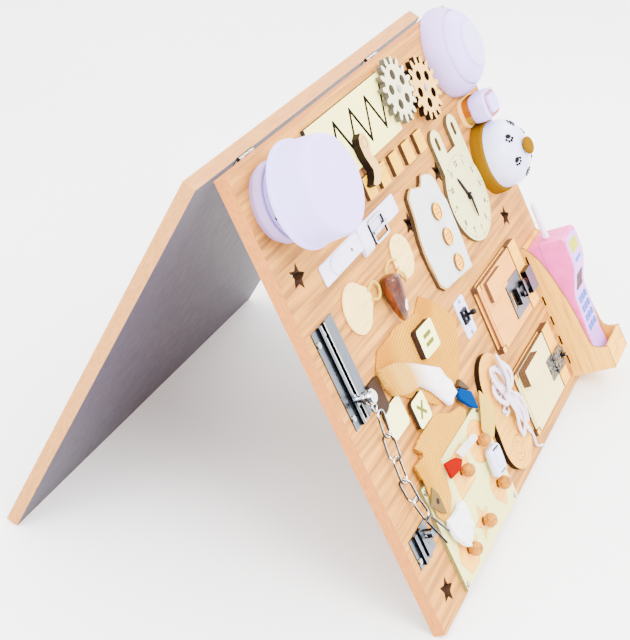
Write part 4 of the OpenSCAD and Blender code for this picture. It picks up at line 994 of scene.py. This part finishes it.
# ------------------------------------------------------------------ toggle, patches, strap details
prof = spline([(0, 0), (6, 0.4), (9.6, 2.2), (11.2, 6), (11.5, 14), (10.6, 24), (8.8, 35), (6, 45), (3, 51), (0, 53)], 5)
tv, tf = [], []
seg = 48
R3 = Matrix.Rotation(math.radians(93), 4, "X")
for i in range(seg):
    a = 2 * math.pi * i / seg
    for r_, z_ in prof:
        p = R3 @ Vector((r_ * math.cos(a), r_ * math.sin(a), z_))
        tv.append(((169 + p.x) / 1000, (-184 + p.y) / 1000, (13 + p.z) / 1000))
n_ = len(prof)
for i in range(seg):
    j = (i + 1) % seg
    tf += [(i * n_ + k, j * n_ + k, j * n_ + k + 1, i * n_ + k + 1) for k in range(n_ - 1)]
piece("toggle_horn", tv, tf, "horn", "front", ("horn_toggle",))
# painted highlight: a pale oval laid on the glossy horn
iv, fv = [], []
for ring_, (ra, rb, hh) in enumerate(((4.2, 6.6, 0.0), (3.8, 6.1, 0.35), (0.01, 0.01, 0.5))):
    for k in range(20):
        b = 2 * math.pi * k / 20
        x_, y_ = ra * math.cos(b), rb * math.sin(b)
        d_ = 36 + y_
        rr = float(np.interp(d_, [p[1] for p in prof], [p[0] for p in prof]))
        q = 2.0 + x_ / max(rr, 1)
        p = R3 @ Vector(((rr + hh) * math.cos(q - 0.55), (rr + hh) * math.sin(q - 0.55), d_))
        iv.append(((169 + p.x) / 1000, (-184 + p.y) / 1000, (13 + p.z) / 1000))
for a in range(2):
    fv += [(a * 20 + k, a * 20 + (k + 1) % 20, (a + 1) * 20 + (k + 1) % 20, (a + 1) * 20 + k) for k in range(20)]
piece("toggle_highlight", iv, fv, "antenna", "front")


def circle_pts(u, v, r, a0, a1, n=24):
    return [(u + r * math.cos(math.radians(a0 + (a1 - a0) * i / n)), v - r * math.sin(math.radians(a0 + (a1 - a0) * i / n))) for i in range(n + 1)]


left_patch = circle_pts(106, 189, 27, 62, 305, 40) + [(140, 196), (140, 182)]
right_patch = [(211, 196), (211, 182)] + circle_pts(233, 188, 25, 130, -120, 40)
pl = soft_solid("patch_left", left_patch, 0.05, 3.0, "patch", "front", 1.0, 4)
pr = soft_solid("patch_right", right_patch, 0.05, 3.0, "patch", "front", 1.0, 4, replaces=("toggle_patches",))
cordpts = spline([(136, 184, 3.2), (146, 180, 4.4), (154, 182, 4.6), (158, 189, 4.4), (154, 196, 4.6), (146, 198, 4.4), (136, 193, 3.2)], 5)
tube_piece("toggle_loop_left", cordpts, 1.5, "strap_tan", "front", 8)
cordpts = spline([(214, 184, 3.2), (200, 179, 4.4), (188, 181, 4.6), (181, 188, 4.4), (187, 196, 4.6), (200, 198, 4.4), (214, 193, 3.2)], 5)
tube_piece("toggle_loop_right", cordpts, 1.5, "strap_tan", "front", 8)
tube_piece("toggle_end_right", spline([(212, 196, 3.3), (219, 204, 3.8), (221, 213, 1.8)], 6), 1.3, "strap_tan", "front", 8)

# belt: long lower strap, doubled upper layer with a pointed tip, and its keeper
def worn(u, v, t):
    return t * (0.16 * np.sin(u * 0.16) + 0.12 * np.sin(u * 0.37 + v * 0.5) - 0.10 * np.abs((v - 138.2) / 10.3) ** 3)


belt_low = [(73, 129), (75, 127), (268, 127), (270, 129), (270, 147.5), (268, 149.5), (75, 149.5), (73, 147.5)]
bl = soft_solid("belt_lower", belt_low, 0.05, 2.2, "leather", "front", 0.75, 3, worn, ("leather_straps",))
belt_up = [(102, 128.1), (213, 128.1), (216, 131), (218, 138.2), (216, 145.5), (213, 148.4), (102, 148.4), (96.5, 146.3), (92.8, 142.5), (91.8, 138.2), (92.8, 134), (96.5, 130.2)]
bu = soft_solid("belt_upper", belt_up, 2.15, 4.15, "leather", "front", 0.75, 3, worn)
kp = [(162, 124.6), (184, 124.6), (184, 156.9), (162, 156.9)]
soft_solid("belt_keeper", kp, 0.05, 6.7, "leather", "front", 0.8, 4, lambda u, v, t: -t * (2.2 * np.clip((v - 150.5) / 6.4, 0, 1) ** 1.5))

# stitches along the leather strap, and a small eyelet
for k, v_ in enumerate((130.3, 146.4)):
    for i in range(18):
        u_ = 106 + i * 5.6
        if 160 < u_ < 186 or 186 < u_ < 224:
            continue
        box_piece("stitch_%d_%d" % (k, i), u_, v_, 4.15, 3.4, 0.7, 0.3, "antenna", "front", 0.1, 0, 0.3)
lathe("strap_eyelet", rounded([(0.9, 4.22), (1.9, 4.22), (1.9, 4.6), (0.9, 4.6)], [0, 0, 0.3, 0.3]), (140, 138.4), "hand", "front", seg=20)

# ------------------------------------------------------------------ cloth
vest = [(289, 258), (279, 249), (275.5, 206), (279, 189), (287, 168), (292, 144.5), (300, 140), (308, 138), (319, 142), (330, 145), (336, 142),
        (342, 136), (352, 137), (366, 143), (372, 152), (374, 168), (379, 182), (377, 230), (372, 267)]
mid = (328, 202)
vc = [(mid[0] + 0.975 * (p[0] - mid[0]), mid[1] + 0.98 * (p[1] - mid[1])) for p in vest]
vcl = soft_solid("vest_felt", vc, 5.02, 6.6, "felt", "front", 1.0, 3, replaces=("vest_cloth",))


def waves(amp, fu, fv_, ph, lo=0.0):
    def f(u, v, t):
        w = np.sin(u * fu + ph) * np.sin(v * fv_ + ph * 0.7) + 0.5 * np.sin((u + v) * fu * 1.7 + ph * 2)
        return t * np.clip(amp * (0.5 + 0.5 * w / 1.5), lo, None)
    return f


upper = [(83, 255), (105, 238), (161, 236), (207, 245), (231, 235), (257, 254), (290, 292), (265, 323), (235, 346), (205, 342), (172, 341), (118, 300), (107, 284), (85, 271)]
up_ = soft_solid("cloth_upper", upper, 0.1, 2.4, "hessian", "front", 1.3, 6, waves(0.5, 0.05, 0.06, 1.0), ("woven_pads",))
lower = [(150, 338), (102, 338), (82, 341), (95, 356), (68, 353), (71, 376), (66.5, 416), (83, 433), (110, 416), (118, 387), (120, 377), (205, 377), (213, 371), (203, 360), (176, 353)]
lo_ = soft_solid("cloth_lower", lower, 6.7, 8.9, "hessian_low", "front", 1.3, 6, waves(0.45, 0.07, 0.05, 2.0))
# the lower cloth's folded-under part reaches down to the board
under = [(148, 341), (103, 341), (88, 344), (97, 358), (74, 357), (76, 376), (118, 374), (203, 374), (208, 370), (200, 362), (175, 356)]
un_ = soft_solid("cloth_under", under, 0.1, 6.6, "hessian_low", "front", 1.6, 8)
band = [(83, 249), (121, 260), (154, 280), (194, 306), (207, 332), (207, 346), (186, 350), (165, 320), (146, 302.5), (118, 297), (92, 284), (83, 268)]


def band_form(u, v, t):
    # rounded top: lower towards its two long edges, and gathered towards the blue cap
    d = np.full_like(u, 99.0)
    p = np.array(band, float)
    for i in range(len(p)):
        a, b = p[i], p[(i + 1) % len(p)]
        ab = b - a; L2 = (ab ** 2).sum()
        s_ = np.clip(((u - a[0]) * ab[0] + (v - a[1]) * ab[1]) / L2, 0, 1)
        d = np.minimum(d, np.hypot(u - a[0] - s_ * ab[0], v - a[1] - s_ * ab[1]))
    k = np.clip(d / 11.0, 0, 1)
    folds = 0.7 * np.sin((u * 0.55 - v * 0.85) * 0.55) * np.clip((u - 140) / 40, 0, 1)
    return t * (-(1 - np.sqrt(1 - (1 - k) ** 2)) * 5.5 + folds - 0.7)


ba = soft_solid("cloth_band", band, 3.5, 14.0, "band", "front", 1.5, 8, band_form)
# painted shade: a dark brown sliver in the fold where the cloth gathers against the blue cap
soft_solid("cloth_fold_shade", [(220.5, 345), (229, 340), (240, 357), (238.5, 359.6), (227, 351)], 3.2, 8.0, "fold_shade_brown", "front", 0.8, 4)
soft_solid("cap_blue", [(209, 348.5), (217, 346), (226, 353), (237, 361), (237, 383), (223, 373), (208, 355)], 5.3, 10.6, "blue_cap", "front", 0.8, 7, replaces=("end_caps",))
soft_solid("cap_red", [(116, 381), (141, 389), (152, 398), (141, 404), (116, 400)], 10.1, 13.9, "red_cap", "front", 0.8, 5)
rb = soft_solid("ribbon_short", [(149, 387.5), (196, 393), (206, 399), (204, 404), (158, 399.5)], 9.9, 11.7, "ribbon", "front", 0.7, 3)
strap = [(253, 369), (264, 385), (271, 406), (240, 424), (223, 416), (222.5, 403), (234, 391)]
st = soft_solid("strap_elastic", strap, 9.8, 11.5, "strap_tan", "front", 0.9, 4, replaces=("elastic_strap",))
tongue = [(77, 384), (84, 398), (83, 421), (73, 414), (60, 397)]
soft_solid("strap_tongue", tongue, 9.7, 10.8, "tongue", "front", 0.6, 3)
lathe("tongue_eyelet", rounded([(0.05, 10.75), (3.4, 10.75), (3.1, 11.1), (0.05, 11.0)], [0, 0.2, 0.2, 0]), (76, 401), "hand", "front", seg=24)

# white side-release buckle: frame with a raised middle and two slots; the slots' dark openings are painted shade, two
# thin dark strips laid on top
box_piece("buckle_body", 218, 440.4, 9.8, 27, 34, 8.4, "buckle_plastic", "front", 3.2, -8, 6, ("side_buckles",))
box_piece("buckle_rise", 218.3, 438.5, 17.4, 17, 19, 3.0, "buckle_plastic", "front", 1.4, -8, 4)
box_piece("buckle_slot_shade", 219.5, 426.6, 18.05, 17, 2.2, 0.25, "ink", "front", 0.1, -8, 0.9)
box_piece("buckle_bar_slot_shade", 216.6, 453.6, 18.05, 15, 1.6, 0.25, "ink", "front", 0.1, -8, 0.6)
# the soft white end: a crumpled gather of cloth round the other half
fem = [(96, 427), (112, 425), (118, 430), (114, 446), (112, 458), (106, 463), (92, 469), (86, 464), (74, 447), (71, 431), (76, 425)]


def crumple(u, v, t):
    w = np.sin(u * 0.45 + 1.3 * np.sin(v * 0.21)) + 0.7 * np.sin(v * 0.5 + 1.1 * np.sin(u * 0.3))
    r_ = np.hypot((u - 95) / 24, (v - 446) / 24)
    return t * (2.2 * w * 0.5 - 3.2 * np.clip(r_, 0, 1.2) ** 2 + 1.0)


fe = soft_solid("cloth_gather", fem, 9.7, 17.0, "white_cloth", "front", 1.0, 6, crumple)

# ------------------------------------------------------------------ shoe lace
lace_pts = [(306, 410, 9), (309, 404, 15), (316, 396, 17), (321, 386, 14), (318, 375, 11), (309, 370, 10), (301, 377, 11), (300, 390, 15), (306, 402, 20),
            (314, 412, 19), (320, 425, 14), (324, 440, 11), (328, 455, 10), (331, 466, 9.6), (334.5, 476, 9.4), (339, 486, 6.4), (344, 495, 3.4), (351, 501, 2.6), (360, 505, 2.6)]
lp = spline(lace_pts, 6)
wp = [W(*p) for p in lp]
cu = bpy.data.curves.new("lace_cord", "CURVE"); cu.dimensions = "3D"
sp = cu.splines.new("POLY"); sp.points.add(len(wp) - 1)
for i, p in enumerate(wp):
    sp.points[i].co = (*p, 1)
cu.bevel_depth = 0.0016; cu.bevel_resolution = 3; cu.use_fill_caps = True
lace = bpy.data.objects.new("lace_cord", cu)
bpy.context.scene.collection.objects.link(lace)
cu.materials.append(M["lace"])
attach(lace, "front"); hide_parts("shoe_lace")
for i in range(4):
    v0 = 380 + i * 13
    for s_ in (-1, 1):
        a = (303 + s_ * 8 - i * 1.5, v0, 7.3)
        b = (303 - s_ * 8 - (i + 1) * 1.5 if i < 3 else 303 - s_ * 5 - i * 1.5, v0 + 13 if i < 3 else v0 + 8, 7.3)
        pts = spline([a, ((a[0] + b[0]) / 2, (a[1] + b[1]) / 2, 10.0 + 1.1 * s_), b], 6)
        tube_piece("lace_cross_%d_%d" % (i, s_ + 1), pts, 2.0, "lace", "front", 8, flat=0.55)
loops = [[(305, 404, 13), (292, 410, 17), (284, 402, 15), (282, 390, 12), (289, 384, 12), (298, 392, 16), (304, 402, 15)],
         [(306, 405, 14), (300, 394, 22), (304, 380, 24), (312, 366, 19), (319, 362, 14), (322, 372, 14), (314, 390, 19), (307, 404, 15)],
         [(307, 408, 13), (312, 424, 20), (317, 440, 18), (318, 456, 12), (312, 462, 10), (306, 450, 12), (305, 430, 16), (306, 410, 14)],
         [(306, 406, 15), (320, 414, 18), (332, 426, 15), (338, 442, 12), (336, 456, 10.5), (328, 448, 12), (318, 430, 16), (308, 410, 15)],
         [(304, 402, 11), (292, 392, 16), (288, 378, 15), (295, 368, 12), (305, 372, 14), (308, 386, 18), (305, 402, 13)],
         [(306, 404, 12), (318, 398, 19), (324, 384, 20), (319, 371, 16), (311, 374, 17), (308, 388, 22), (306, 403, 14)],
         [(306, 405, 12), (316, 416, 17), (323, 430, 15), (322, 446, 12), (314, 440, 15), (309, 424, 18), (306, 406, 13)],
         [(305, 404, 13), (300, 418, 18), (306, 432, 17), (316, 444, 14), (325, 458, 11), (331, 470, 10.6)]]
for i, l_ in enumerate(loops):
    tube_piece("lace_loop_%d" % i, spline(l_, 8), 3.4 - 0.4 * (i == 3), "lace", "front", 10, flat=0.45)
tube_piece("lace_knot", spline([(301, 400, 12), (306, 398, 17), (311, 402, 14), (309, 408, 12), (303, 409, 15), (300, 404, 14), (305, 401, 19)], 6), 3.0, "lace", "front", 10, flat=0.8)

# ------------------------------------------------------------------ floor
fm = bpy.data.meshes.new("floor")
fm.from_pydata([(-6, -6, 0), (6, -6, 0), (6, 6, 0), (-6, 6, 0)], [], [(0, 1, 2, 3)])
floor = bpy.data.objects.new("floor", fm)
bpy.context.scene.collection.objects.link(floor)
s = Mat("floor_paint", Matrix.Identity(4))
c = s.ramp(s.noise(1.5, 3), [(0.3, (0.88, 0.88, 0.88)), (0.7, (0.92, 0.92, 0.92))])
s.bump(s.noise(300, 3), 0.03, 0.0003)
fm.materials.append(s.done(c, 0.6))
